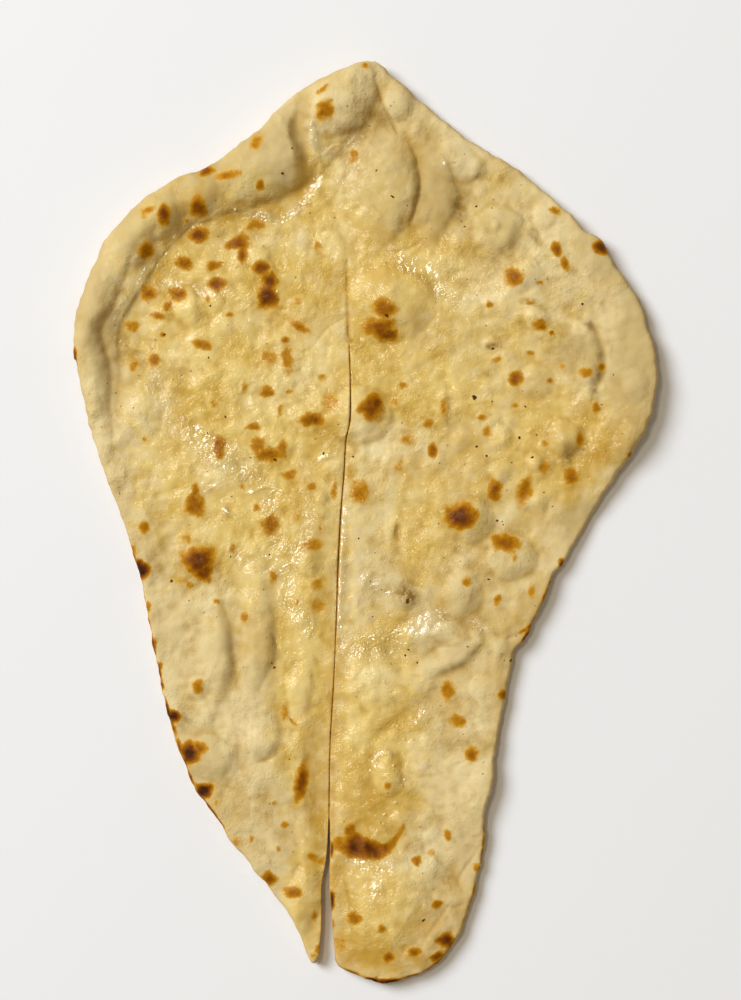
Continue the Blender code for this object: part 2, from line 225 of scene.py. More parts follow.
# Puffs that rise gently and end in a steep foot: width of the foot, then a run of x, y, reach of the
# rise, height. The rise is on the right hand of the run.
STEPS = {
    "left lobe, a": (5.0, [
        (-45.5, -20, 8, 0.2), (-44, -28, 12, 1.5), (-41.8, -36, 14, 2.6), (-40.8, -44, 14, 2.8),
        (-42.4, -51, 13, 2.2), (-45.5, -57, 9, 0.4),
    ]),
    "left lobe, b": (6.0, [
        (-33.0, -10, 7, 0.2), (-31.0, -20, 10, 1.3), (-28.6, -30, 11, 2.3), (-27.9, -38, 11, 2.8),
        (-29, -44.5, 11, 2.5), (-32.0, -50, 9, 1.6), (-35.5, -56, 7, 0.3),
    ]),
    "left lobe, lower puff": (5.0, [
        (-41, -63, 8, 0.3), (-39.6, -70, 11, 1.5), (-40.6, -77, 11, 1.7), (-44.5, -82.5, 8, 0.5),
    ]),
    "left lobe, middle puff": (4.0, [
        (-27.0, -61, 7, 0.3), (-26.8, -68, 10, 1.2), (-30, -73.2, 10, 1.2), (-37, -75, 7, 0.3),
    ]),
    "tall bubble": (5.5, [
        (8, 120.5, 9, 0.3), (13.4, 116.6, 13, 1.3), (16.4, 109.5, 16, 2.2), (16.6, 102, 17, 2.5),
        (14.6, 95, 16, 2.2),
        (10.8, 89, 13, 1.4), (6, 86, 9, 0.4),
    ]),
    "leaning puff": (6.0, [
        (19, 117.5, 7, 0.3), (24.4, 112, 11, 1.4), (27.8, 105, 14, 2.3), (28.6, 98.4, 15, 2.6),
        (25.6, 91.8, 13, 2.1),
        (20.2, 86.6, 10, 1.2), (16, 84, 7, 0.3),
    ]),
    "curved ridge": (3.4, [
        (64.0, 63.5, 6, 0.2), (68.8, 61.8, 8, 0.9), (71.8, 57.6, 10, 1.4), (73.2, 51.5, 11, 1.7),
        (72.8, 46, 10, 1.6),
        (71.2, 41.5, 8, 1.1), (69.4, 37.5, 6, 0.2),
    ]),
    "crescent": (3.0, [
        (36.2, -33.5, 6, 0.3), (36.0, -38.0, 9, 1.2), (32.6, -42.6, 10, 1.5), (27.0, -45.8, 9, 1.2),
        (20.5, -48.4, 7, 0.3),
    ]),
    "across the right lobe": (7.0, [
        (25, -47.5, 10, 0.2), (18.5, -54, 14, 1.1), (11, -59.5, 16, 1.5), (4.5, -65.5, 14, 1.1),
        (0.5, -73, 9, 0.2),
    ]),
    "round the nippled blister": (4.5, [
        (44, 98, 7, 0.2), (48.2, 93.5, 11, 0.9), (48.6, 87.5, 11, 1.1), (45, 82.6, 10, 0.8),
        (40, 81, 7, 0.2),
    ]),
    "right dome": (4.5, [
        (34.5, 116, 7, 0.2), (37.4, 111, 10, 1.0), (35.4, 105.6, 9, 0.9), (29.5, 103.5, 7, 0.2),
    ]),
}

# Narrow creases and ridges in the skin, in the same form.
CREASES = {
    "scored start": [
        (-5.7, 81, 0.6, -0.3), (-5.8, 73, 0.6, -0.5), (-5.5, 64, 0.6, -0.6), (-5.2, 56, 0.7, -0.9),
    ],
    "beside the bubble": [
        (14.0, 118, 0.8, -0.1), (16.8, 108, 1.0, -0.4), (16.6, 102, 1.0, -0.5), (14.2, 93, 0.9, -0.3),
    ],
    "fold on the bubble": [
        (11.2, 115.5, 0.7, -0.05), (13.5, 108.7, 0.8, -0.10), (12.4, 103, 0.8, -0.10),
        (13.2, 98, 0.8, -0.10),
        (11.2, 92.2, 0.7, -0.05),
    ],
    "under the bubble": [
        (6.6, 83.6, 0.6, -0.1), (10.0, 83.9, 0.7, -0.35), (13.8, 85.0, 0.7, -0.35), (17.4, 87.6, 0.6, -0.1),
    ],
    "under the tip": [
        (2.6, 138, 0.6, -0.3), (5.4, 129.4, 0.6, -0.5), (8.2, 124, 0.7, -0.6), (9.8, 120.4, 0.6, -0.3),
    ],
    "to the cut's start": [
        (-22.5, 53.5, 0.7, -0.05), (-19.4, 52.9, 0.8, -0.2), (-16.1, 54.6, 0.8, -0.15),
        (-12.3, 59.7, 0.8, -0.2),
        (-6.7, 63.4, 0.7, -0.1),
    ],
    "left of the cut": [(-34.6, 68.1, 0.6, -0.1), (-29, 66.8, 0.7, -0.25), (-23.7, 65.3, 0.6, -0.1)],
    "lobe end, right": [(36.2, -100, 0.7, -0.2), (29, -110.8, 0.8, -0.25), (32.1, -115.5, 0.7, -0.1)],
    "lobe end, inner": [(20.6, -117, 0.6, -0.1), (26, -119.4, 0.7, -0.2), (30.5, -118.6, 0.7, -0.15)],
    "lobe end, lower": [(18.1, -129.4, 0.6, -0.1), (22, -124, 0.7, -0.2), (25.9, -118.6, 0.6, -0.1)],
    "beside the cut, a": [(-7.2, -108, 0.6, -0.1), (-5.6, -114, 0.8, -0.45), (-4.6, -120, 0.6, -0.2)],
    "beside the cut, b": [(-5.6, -123, 0.6, -0.1), (-3.8, -126.6, 0.7, -0.4), (-2.0, -129.5, 0.6, -0.1)],
    "notch": [(51.9, -31.5, 0.6, -0.2), (47, -34.9, 0.7, -0.4), (43.5, -36.5, 0.6, -0.1)],
    "right fold": [(51.5, 91, 0.6, -0.1), (53.3, 89.6, 0.7, -0.4), (55, 88, 0.6, -0.1)],
    "left lobe, a": [(-33.6, -74.3, 0.6, -0.15), (-31, -74.0, 0.6, -0.3), (-28.4, -73.4, 0.6, -0.1)],
    "left lobe, b": [(-43.4, -82, 0.6, -0.1), (-41, -82.8, 0.7, -0.3), (-38.6, -83.8, 0.6, -0.1)],
    "left lobe, c": [(-29.4, -33.6, 0.6, -0.1), (-28.2, -36.4, 0.7, -0.4), (-27.3, -39, 0.6, -0.1)],
    "left edge, a": [(-69.6, -19.6, 0.6, -0.3), (-67.6, -19.8, 0.7, -0.4), (-65, -20.4, 0.6, -0.1)],
    "left edge, b": [(-62.8, -54.8, 0.6, -0.3), (-61, -55, 0.6, -0.3), (-59.6, -55.2, 0.6, -0.1)],
}

# Threads of butter that stand up from the skin and catch the light, in the same form.
BUTTER_LINES = {
    "along the cut": [
        (-6.9, 4, 0.7, 0.1), (-7.3, -6, 0.8, 0.5), (-7.8, -14.7, 0.8, 0.6), (-8.2, -26, 0.8, 0.5),
        (-8.5, -33, 0.7, 0.1),
    ],
    "lump's foot, upper": [(-16.9, 123.2, 0.5, 0.1), (-15.7, 120.7, 0.6, 0.2), (-15, 118, 0.5, 0.1)],
    "under the tip": [
        (-15, 113, 0.5, 0.1), (-11.9, 114.9, 0.6, 0.2), (-9.8, 116.7, 0.6, 0.2), (-6.7, 116.7, 0.6, 0.2),
        (-4.5, 118, 0.6, 0.2), (-3.3, 119.8, 0.5, 0.1),
    ],
    "lump's foot": [
        (-13.5, 107.1, 0.5, 0.1), (-15.3, 103.7, 0.6, 0.2), (-17.5, 100.6, 0.6, 0.2),
        (-19.7, 97.5, 0.6, 0.2),
        (-21.5, 95.9, 0.5, 0.2),
    ],
    "lump's foot, left": [
        (-40.1, 95.9, 0.5, 0.1), (-33.9, 96.9, 0.6, 0.2), (-29.9, 95.3, 0.6, 0.2), (-29.3, 92.8, 0.5, 0.1),
    ],
    "rim's foot": [
        (-44.8, 96.9, 0.5, 0.1), (-50.7, 93.2, 0.6, 0.15), (-56.3, 90.1, 0.6, 0.1),
        (-60.9, 85.4, 0.6, 0.15),
        (-64.6, 81.4, 0.6, 0.1), (-66.2, 78.3, 0.5, 0.1),
    ],
    "rim's foot, lower": [
        (-69.4, 74, 0.5, 0.1), (-73.3, 68, 0.6, 0.15), (-76.4, 62.8, 0.6, 0.1), (-77.3, 59.7, 0.5, 0.1),
    ],
    "beside the cut, upper": [(-14.4, 19.7, 0.5, 0.1), (-11.9, 20.3, 0.6, 0.3), (-8.8, 20.6, 0.5, 0.2)],
    "left middle, a": [
        (-37.7, 9.1, 0.5, 0.1), (-34.3, 9.8, 0.6, 0.2), (-31.2, 11, 0.6, 0.25), (-28.1, 10.4, 0.6, 0.25),
        (-26.5, 8.8, 0.5, 0.1),
    ],
    "left middle, b": [(-50.7, 8.8, 0.5, 0.1), (-48.4, 10.4, 0.6, 0.25), (-46, 11.6, 0.5, 0.1)],
    "left middle, c": [(-44.8, 4.2, 0.5, 0.1), (-42.3, 2.6, 0.6, 0.25), (-40.1, 1.1, 0.5, 0.1)],
    "right dome": [(23.7, 113, 0.5, 0.1), (25, 110.5, 0.6, 0.25), (26.5, 107.4, 0.5, 0.1)],
    "beside the cut": [
        (-21.9, -14.7, 0.5, 0.2), (-22.2, -11.6, 0.7, 0.35), (-20.6, -7.9, 0.6, 0.3),
        (-19.1, -6.4, 0.5, 0.1),
    ],
    "beside the cut, lower": [(-16.9, -27.7, 0.5, 0.1), (-16.3, -31.8, 0.7, 0.3), (-17.8, -35.8, 0.5, 0.1)],
    "round the small dome": [
        (2.0, -77.1, 0.6, 0.2), (2.8, -73.6, 0.7, 0.45), (5.3, -71.5, 0.7, 0.45), (8.6, -71.6, 0.6, 0.2),
    ],
    "across the right lobe": [
        (25, -28, 0.5, 0.1), (19.7, -28.7, 0.6, 0.15), (10.4, -33.3, 0.7, 0.15), (2.6, -38, 0.6, 0.15),
        (-1.4, -39.5, 0.5, 0.1),
    ],
    "right lobe, side": [(17.9, -57.5, 0.5, 0.1), (16.9, -60.2, 0.6, 0.15), (15.3, -62.5, 0.5, 0.1)],
    "lobe end": [(2.6, -111, 0.5, 0.1), (4.5, -113, 0.7, 0.3), (5.7, -115.5, 0.5, 0.1)],
}
FINE_LINES = [*CREASES.values(), *BUTTER_LINES.values()]

# Browned spots: x, y, half width, half length, turn in degrees, darkness from 0 to 1.
BROWNED = [
    (-62.2, 94.7, 1.9, 3.4, 0, .85), (-67.1, 96.3, 2.5, 1.2, 20, .40), (-68.7, 94.4, 1.2, 1.0, 0, .35),
    (-51.9, 97.2, 2.5, 2.8, 0, .75), (-55.3, 93.2, 1.0, 1.0, 0, .40), (-67.7, 83.9, 2.3, 2.9, 0, .60),
    (-51.9, 89.1, 3.3, 2.3, 10, .80), (-56.6, 80.1, 2.8, 2.0, -25, .65), (-47.3, 79.5, 2.4, 1.6, 25, .60),
    (-39.8, 86.6, 4.0, 2.0, 10, .70), (-38.3, 82.9, 1.6, 2.6, 0, .65), (-34.3, 92.2, 2.5, 1.9, 0, .50),
    (-46.0, 73.9, 2.9, 2.2, 0, .75), (-32.4, 78.9, 2.6, 2.2, 0, .80), (-29.9, 74.6, 2.6, 3.2, 0, .85),
    (-30.5, 69.9, 3.2, 3.8, 0, .95), (-67.4, 70.8, 2.6, 2.5, 30, .65), (-58.4, 70.8, 2.9, 2.2, -10, .65),
    (-61.5, 67.1, 1.2, 2.4, -30, .50), (-64.3, 64.0, 2.7, 1.2, -20, .50), (-72.1, 60.9, 2.7, 2.0, 0, .40),
    (-49.1, 69.0, 0.9, 1.2, 0, .40), (-42.3, 64.3, 1.5, 0.9, 0, .35), (-21.2, 68.4, 1.8, 1.3, 0, .30),
    (-42.9, 107.1, 4.3, 1.5, 10, .55), (-32.7, 104.0, 1.2, 1.6, 0, .55), (-33.6, 117.6, 1.9, 3.6, -25, .40),
    (-13.2, 133.5, 2.5, 1.0, 45, .40), (-12.6, 127.3, 2.8, 3.4, -20, .50), (-13.5, 126.3, 1.4, 1.6, 0, .65),
    (-3.9, 113.3, 1.5, 2.5, -15, .40), (-0.2, 141.2, 1.1, 1.2, 0, .45), (-15.0, 85.4, 1.2, 1.6, 0, .35),
    (-64.9, 77.3, 0.9, 0.9, 0, .35), (-11.6, 76.1, 1.5, 0.9, 0, .20), (-20.6, 60.6, 4.2, 1.4, -30, .50),
    (-25.0, 56.6, 1.5, 1.2, 0, .55), (-29.9, 51.3, 2.8, 2.0, 0, .35), (-24.3, 50.4, 2.0, 4.5, 0, .45),
    (-65.6, 50.1, 1.9, 2.0, 0, .55), (-71.8, 48.8, 1.6, 2.4, 0, .35), (-50.7, 55.0, 3.3, 1.6, -12, .55),
    (-63.1, 58.1, 1.0, 0.9, 0, .50), (-13.8, 44.8, 1.5, 1.2, 0, .35), (-30.5, 40.5, 2.2, 1.8, 0, .50),
    (-23.7, 40.5, 1.8, 0.9, 0, .30), (-37.7, 41.7, 1.1, 2.4, -10, .30), (-11.3, 37.0, 2.7, 3.0, 0, .32),
    (-17.2, 31.8, 4.1, 2.1, 0, .68), (-34.9, 29.6, 2.1, 1.2, 0, .48), (-33.6, 24.0, 2.3, 2.8, 0, .50),
    (-30.0, 20.9, 4.6, 2.4, 0, .55), (-25.9, 23.4, 1.8, 2.4, 0, .50), (-45.4, 23.1, 1.9, 3.6, 0, .60),
    (-23.7, 14.7, 2.7, 1.6, 10, .45), (-16.9, 11.0, 1.6, 1.3, 20, .45), (-52.9, 10.1, 1.2, 2.5, 0, .50),
    (-53.2, 5.4, 3.0, 3.6, 0, .60), (-68.7, -1.4, 1.6, 2.3, 0, .55), (-29.9, -0.8, 3.0, 2.7, -20, .60),
    (-33.9, 4.5, 1.2, 1.2, 0, .40), (-38.3, 10.7, 1.2, 1.2, 0, .35), (-55.3, -5.4, 2.1, 1.8, 0, .30),
    (-51.9, -12.2, 4.2, 4.0, -30, .90), (-50.1, -15.7, 2.4, 2.6, 0, .80), (-41.4, -7.9, 1.2, 1.9, 0, .35),
    (-28.7, -16.6, 1.6, 2.5, 0, .40), (-54.4, -19.7, 1.2, 1.2, 0, .35), (-16.3, -7.0, 3.8, 2.2, 20, .38),
    (-15.0, -19.4, 1.8, 2.4, 0, .35), (-15.0, -25.6, 2.7, 2.7, 0, .30), (-21.5, -25.0, 1.2, 1.2, 0, .35),
    (-46.0, -24.6, 1.2, 0.9, 0, .35), (-37.7, -29.6, 1.5, 1.5, 0, .40), (-52.2, -51.0, 1.9, 2.5, 0, .50),
    (-20.0, -80.4, 2.0, 6.2, -10, .75), (-25.3, -59.1, 1.5, 2.4, 0, .40), (-22.8, -61.8, 0.7, 2.2, 40, .40),
    (-46.3, -87.0, 0.9, 1.2, 0, .35), (-25.0, -93.8, 1.5, 1.2, 0, .45), (-35.5, -98.1, 0.9, 1.2, 0, .35),
    (-27.1, -101.2, 0.9, 1.2, 0, .35), (-29.9, -110.5, 2.3, 1.9, -25, .70),
    (-22.5, -114.5, 3.0, 1.8, 0, .60),
    (-14.8, -132.2, 0.9, 1.2, 0, .60), (-16.3, -134.4, 1.2, 1.2, 0, .45), (-16.0, -122.3, 1.2, 2.4, 0, .35),
    (-28.4, -87.0, 1.2, 0.9, 0, .30), (-9.8, 10.1, 1.2, 3.0, 0, .35), (-72.2, -8.5, 0.9, 1.9, 15, .45),
    (5.7, 65.9, 3.7, 3.1, 0, .60), (4.2, 60.3, 4.8, 3.0, 0, .72), (6.7, 58.1, 3.6, 1.6, 0, .75),
    (1.7, 35.5, 3.6, 3.6, 0, .75), (3.4, 36.4, 1.8, 2.2, 0, .85), (46.0, 75.8, 2.9, 2.7, 0, .62),
    (38.3, 67.4, 1.2, 1.1, 0, .55), (59.0, 84.6, 1.6, 2.2, 20, .60), (61.8, 79.8, 1.3, 2.8, 20, .50),
    (58.4, 96.3, 1.8, 1.3, -20, .50), (53.8, 61.2, 2.4, 2.3, -20, .45), (54.7, 60.3, 1.1, 1.0, 0, .60),
    (57.5, 58.7, 0.9, 0.8, 0, .75), (46.3, 44.5, 2.4, 2.2, 0, .68), (56.9, 43.9, 1.2, 1.0, 0, .50),
    (68.0, 46.3, 2.1, 1.7, 0, .45), (73.0, 47.9, 1.2, 1.5, 0, .50), (60.9, 48.2, 1.2, 1.0, 0, .42),
    (50.7, 52.5, 1.8, 0.9, 0, .38), (40.5, 50.4, 2.5, 1.2, 25, .32), (71.5, 35.2, 1.3, 1.8, 0, .50),
    (36.1, 32.4, 1.8, 0.9, 0, .52), (46.3, 36.1, 1.5, 0.9, 0, .38), (20.6, 21.9, 1.6, 2.7, 0, .65),
    (19.1, 30.8, 1.8, 1.5, 0, .42), (12.6, 25.6, 2.7, 1.8, -30, .35), (11.6, 42.3, 1.8, 1.2, 0, .38),
    (8.8, 37.4, 1.5, 1.4, 0, .32), (10.4, 17.5, 1.5, 2.1, 0, .28), (-2.0, 9.5, 3.2, 3.6, 0, .45),
    (-5.1, 16.3, 0.9, 3.0, 0, .30), (40.1, 10.1, 2.1, 3.1, -10, .72), (49.1, 9.5, 2.3, 4.2, -20, .58),
    (63.7, 14.1, 2.2, 2.7, 0, .60), (29.3, 1.7, 4.4, 3.9, 0, .95), (43.2, -6.4, 4.3, 2.7, -8, .68),
    (37.4, 28.1, 1.5, 1.9, 0, .38), (55.3, 24.3, 1.2, 1.2, 0, .32), (55.3, 16.9, 1.6, 2.2, -20, .45),
    (66.2, 25.6, 1.2, 2.5, 0, .50), (31.2, -18.4, 1.8, 1.5, 0, .42), (40.8, -24.0, 1.3, 2.2, -20, .42),
    (51.3, -21.5, 1.2, 2.5, 0, .35), (46.0, -11.0, 0.9, 1.2, 0, .32), (25.3, -51.9, 2.3, 3.0, 0, .48),
    (28.7, -61.8, 2.9, 2.2, -20, .45), (32.7, -71.8, 2.3, 2.2, 25, .62), (42.4, -53.5, 1.5, 1.6, 0, .60),
    (6.7, -81.7, 1.2, 1.5, -15, .52), (25.3, -96.9, 1.2, 1.9, 15, .48), (15.7, -104.9, 1.6, 1.5, 0, .52),
    (34.4, -107.1, 1.3, 1.3, 0, .50), (21.9, -118.3, 1.5, 1.4, 0, .62),
    (-26.5, 34.9, 1.0, 2.8, -15, .35), (-68.7, 25.6, 0.9, 1.1, 0, .35), (-47.3, 36.6, 1.5, 1.4, 0, .35),
    (-21.5, 1.5, 1.8, 2.2, 0, .25), (-14.1, -2.3, 0.8, 3.2, 0, .30), (-58.0, -17.5, 3.0, 1.6, 0, .25),
    (-40.0, -99.0, 2.5, 2.0, 0, .25), (71.2, 35.4, 1.3, 1.8, 0, .50), (-16.4, -104.0, 2.4, 1.6, -30, .40),
    (4.8, -125.7, 1.5, 1.4, 0, .50), (-3.6, -122.6, 2.4, 2.2, -25, .52), (7.0, -134.7, 1.9, 1.6, 0, .65),
    (15.0, -133.1, 2.0, 1.4, 0, .70), (-8.0, -131.0, 2.4, 4.2, 0, .28), (-10.4, -124.8, 0.9, 1.9, 0, .45),
    (-13.2, -105.2, 2.2, 1.5, 0, .38), (81.6, 20.9, 1.2, 0.9, 0, .60), (50.7, 68.0, 1.8, 0.7, 0, .50),
    (54.1, 74.2, 1.5, 0.7, 0, .40), (49.5, -33.2, 3.0, 0.7, 35, .65), (20.3, -102.5, 1.2, 1.2, 0, .30),
    (24.0, 35.5, 1.1, 3.0, 0, .40), (-4.9, -95.8, 1.7, 2.6, -15, .60),
]

# Spots charred by the oven's wall, most of them on the edge, in the same form.
CHARRED = [
    (-49.4, 108.6, 2.4, 1.6, 25, .70), (-69.7, -14.7, 2.1, 2.5, 0, 1.2), (-67.6, -26.5, 0.9, 1.6, 0, .50),
    (-65.6, -37.4, 0.9, 1.6, 0, .60), (-64.0, -44.8, 0.9, 1.3, 0, .60), (-59.9, -60.3, 2.2, 1.9, 0, 1.2),
    (-54.5, -71.5, 2.8, 3.0, 0, 1.15), (-51.6, -69.9, 2.2, 1.9, 0, .65), (-50.6, -83.2, 2.7, 2.2, 20, 1.2),
    (-90.2, 51.3, 0.8, 2.5, 0, .85), (72.6, 84.9, 2.3, 2.0, -30, 1.0), (24.8, -129.4, 2.4, 2.1, 0, 1.0),
    (22.0, -134.5, 2.4, 1.3, 30, .80), (-11.0, -101.6, 0.9, 2.4, 0, 1.3), (-10.7, -117.6, 0.9, 2.8, 0, 1.3),
    (60.8, -13.0, 0.8, 1.4, 30, .90),
]

# Faint grey brown smudges of ash and burnt flour, and painted shade along the curved ridge's foot and between
# the left lobe's puffs, in the same form.
ASH_AND_SHADE = [
    (39.2, 54.4, 3.2, 1.2, 0, .90), (56.3, 17.5, 2.0, 3.2, 0, .55), (25.0, 33.3, 1.6, 5.0, 0, .60),
    (62.2, 20.9, 2.0, 3.6, 0, .80), (12.9, -22.5, 3.4, 4.0, 0, 1.0), (-56.3, -61.2, 2.8, 3.8, 0, .60),
    (-66.0, -13.2, 2.4, 4.5, 0, .50), (69.4, 60.8, 2.2, 1.2, -40, .85), (72.6, 51.0, 1.1, 3.4, 0, .80),
    (72.4, 46.4, 1.6, 2.4, 0, .95), (70.8, 41.0, 1.2, 3.4, 10, .70), (-50.0, 109.0, 3.4, 2.6, 25, .80),
    (-43.2, 3.4, 1.2, 2.4, 0, .50), (-37.8, 12.6, 1.6, 2.2, 0, .40), (-34.0, 94.8, 6.0, 1.6, 0, .50),
    (15.6, 104.0, 1.4, 8.0, 0, .60), (28.6, 98.0, 2.6, 4.6, 0, .80), (52.0, 88.4, 3.0, 1.0, -40, .60),
    (63.0, 54.0, 6.0, 4.0, 0, .50), (50.5, 68.4, 2.6, 1.0, 0, .80), (66.6, 24.6, 1.6, 4.2, 0, .85),
    (-29.0, -38.0, 1.6, 7.0, 0, .45), (-41.6, -43.0, 1.6, 6.0, 0, .40), (38.0, 46.0, 2.0, 1.4, 0, .60),
]

# Char along the thin edges and one long browned bow: runs of x, y, half width, darkness.
EDGE_CHAR = {
    "lobe end": [
        (-8, -138.5, 0.9, 0.6), (-4, -140.3, 1.2, 1.0), (1, -142.0, 1.2, 1.1), (7, -142.8, 1.4, 1.2),
        (13, -141.6, 1.2, 1.0), (18, -139.6, 0.9, 0.6), (24, -135.3, 1.0, 0.7), (27.5, -130.5, 0.9, 0.7),
    ],
    "lobe side": [(30, -126, 0.8, 0.6), (33, -116, 0.7, 0.5), (36, -104, 0.7, 0.5), (37, -92, 0.7, 0.4)],
    "left side": [(-75, -3, 0.7, 0.5), (-71.5, -13, 0.8, 0.7), (-69, -24, 0.7, 0.7), (-66.5, -36, 0.7, 0.7)],
    "left lobe": [
        (-66.5, -36, 0.7, 0.7), (-64.5, -45, 0.7, 0.8), (-62, -57, 0.8, 0.9), (-59, -66, 0.7, 0.9),
        (-56, -75.8, 0.8, 1.1), (-52.5, -84, 0.8, 0.9), (-49.5, -87.5, 0.8, 0.9), (-44, -95, 0.7, 0.5),
    ],
    "notch": [(58, -17, 0.7, 0.5), (54, -26, 0.8, 0.7), (51, -33.5, 0.8, 0.8), (47, -39, 0.8, 0.6)],
}
BOW = [
    (-7.6, -99.6, 2.6, 0.50), (-4.6, -100.2, 4.3, 0.84), (-0.5, -101.2, 3.9, 0.92),
    (3.6, -101.6, 3.3, 0.86),
    (7.0, -100.8, 2.3, 0.60), (9.6, -98.2, 1.5, 0.42), (11.2, -95.4, 1.2, 0.32), (12.2, -92.6, 0.9, 0.24),
]

# Flecks of charred flour: x, y, radius.
FLECKS = [
    (-25.9, 107.7, .60), (-22.8, 115.2, .30), (3.3, 108.7, .45), (8.2, 100.6, .55), (12.6, 98.1, .30),
    (-48.2, 67.1, .45), (6.4, 64.0, .70), (33.6, 38.6, .90), (39.2, 37.4, .35), (49.4, 35.8, .35),
    (56.3, 27.1, .45), (47.6, 26.2, .60), (34.3, 23.4, .50), (37.4, 20.6, .45), (45.1, 18.4, .40),
    (51.6, 20.0, .55), (-4.0, 20.3, .50), (55.0, 9.1, .35), (57.8, 4.8, .30), (40.8, 0.5, .50),
    (42.3, 0.2, .30), (42.6, -0.8, .30), (38.0, -17.8, .40), (73.0, 36.4, .30), (76.7, 45.7, .30),
    (67.1, 67.7, .50), (-28.4, 19.4, .60), (-43.6, 32.7, .45), (-49.1, 27.7, .35), (-35.8, 20.0, .30),
    (-51.9, 21.2, .30), (-48.8, 51.0, .35), (-41.7, 7.9, .30), (-44.5, 0.5, .30), (-42.0, -10.7, .35),
    (-29.9, -10.1, .40), (-60.3, -18.4, .65), (-31.8, -20.9, .30), (-23.7, -73.6, .30), (-76.4, 8.8, .30),
    (12.9, -24.3, .80), (13.2, -39.5, .40), (12.2, -41.4, .45), (16.0, -43.6, .45), (31.5, -38.6, .30),
    (2.0, -29.3, .30), (-2.3, -5.1, .35), (44.8, -42.9, .50), (42.9, -42.9, .30), (17.8, -123.2, .55),
    (-62.5, 58.1, .45), (39.2, 53.8, .50), (-13.2, 21.2, .50), (-28.4, -45.1, .50), (-29.3, -43.6, .30),
    (34.3, 97.8, .50), (29.6, 93.2, .30), (30.5, 91.6, .30), (39.0, 97.2, .30), (53.0, 27.1, .40),
]

# Where melted butter has soaked in or pooled: x, y, half width, half length, turn in degrees, amount.
BUTTERED = [
    (-36, 38, 36, 70, 8, .90), (15, 77, 26, 14, 0, 1.0), (-8, 98, 14, 20, 0, 1.0), (18, 1, 15, 20, 0, .70),
    (4, -70, 14, 42, 0, 1.0), (35, 44, 36, 60, 0, .50), (4, -119, 14, 20, 0, .80),
    (-18, -111, 8, 26, -10, .60),
    (60, 24, 22, 16, 25, .95), (-20, -40, 12, 46, 0, .75), (4, 48, 12, 30, 0, .90),
    (22, 40, 16, 16, 0, .70),
]

# Broad, weak browning, and painted shade where slopes and feet face away from the light, as at the rim's
# foot, the lobe's end and the left lobe's slope to the cut, in the same form.
GOLDEN_AND_SHADE = [
    (72.4, 20.9, 10, 4, 45, .85), (80.1, 30.2, 5, 4, 0, .45), (65, 12, 8, 5, 50, .70),
    (17.0, 86.5, 3, 3, 0, .60),
    (24.5, 35.5, 2, 5, 0, .50), (-16, -8, 4, 8, 0, .45), (-15, -24, 4, 7, 0, .45), (-29, 50, 4, 4, 0, .25),
    (-2, 9, 4, 4, 0, .35), (-1, -101, 9, 5, 0, .45), (29, 2, 7, 7, 0, .30), (-51, -13, 7, 7, 0, .30),
    (5.5, 62, 7, 7, 0, .35), (2, 36, 6, 6, 0, .35), (27, -57, 5, 9, 0, .35), (-31, 73, 6, 8, 0, .35),
    (-8, -127, 2, 7, 0, .60), (-15.5, -106, 3, 5, 0, .60), (-20, 104, 3.5, 9, -8, .50),
    (-32, 97.5, 12, 2.6, 0, .55),
    (20, 88, 4, 4, 0, .50), (-11, -62, 4, 44, 0, .45), (69, 33, 5, 7, 20, .45), (10, -61, 10, 4, 30, .25),
    (1, -90, 12, 15, 0, .60), (20, -127, 15, 12, 0, .40), (25, 100, 6, 12, 0, .30),
    (60, 21, 17, 10, 25, .40),
    (73, 28, 8, 12, -30, .40), (-55, 98, 14, 4, 35, .80), (1, 63, 9, 10, 0, .30), (29, 27, 7, 7, 0, .40),
    (-16, -86, 6, 26, 0, .58), (3, -134, 13, 7, 0, .80), (24, 92, 6, 10, 0, .35),
    (4, 50, 7, 7, 0, .28), (-20, 62, 7, 6, 0, .28), (-58, 25, 8, 9, 0, .30), (-20, 13, 8, 7, 0, .25),
    (-20, 1, 8, 7, 0, .25), (-33, -36, 6, 8, 0, .28), (53, -25, 6, 8, -30, .35), (41, -49, 7, 8, 0, .32),
    (-56, -73, 6, 7, 0, .28), (-46, -86, 7, 7, 0, .32), (-14, -112, 8, 24, -8, .30),
    (16, -136, 9, 5, 0, .60),
    (3, -117, 8, 12, 0, .25), (46.5, -31, 4, 6, -30, .60), (16, 112, 7, 7, 0, .42),
    (17, 95, 6, 9, 0, .32), (28, -122, 6, 7, 0, .30), (16, 12, 8, 8, 0, .22),
    (2, 76, 14, 6, 0, .30), (-9, 32, 5, 12, 0, .28), (29, 13, 7, 7, 0, .30), (-8, -110, 7, 21, 0, .48),
    (-20, -98, 7, 7, 0, .25), (4, 88, 10, 6, 0, .28), (68, 36, 6, 7, 0, .25),
    (-45, 75, 7, 7, 0, .28), (54, 38, 7, 7, 0, .30), (54, 1, 6, 6, 0, .22), (-57, -72, 5, 7, 0, .22),
    (13, 116, 6, 4, 0, .40), (77, 27, 8, 7, 0, .50), (16, 63, 5, 8, 0, .40), (31, 22, 6, 8, 0, .40),
]

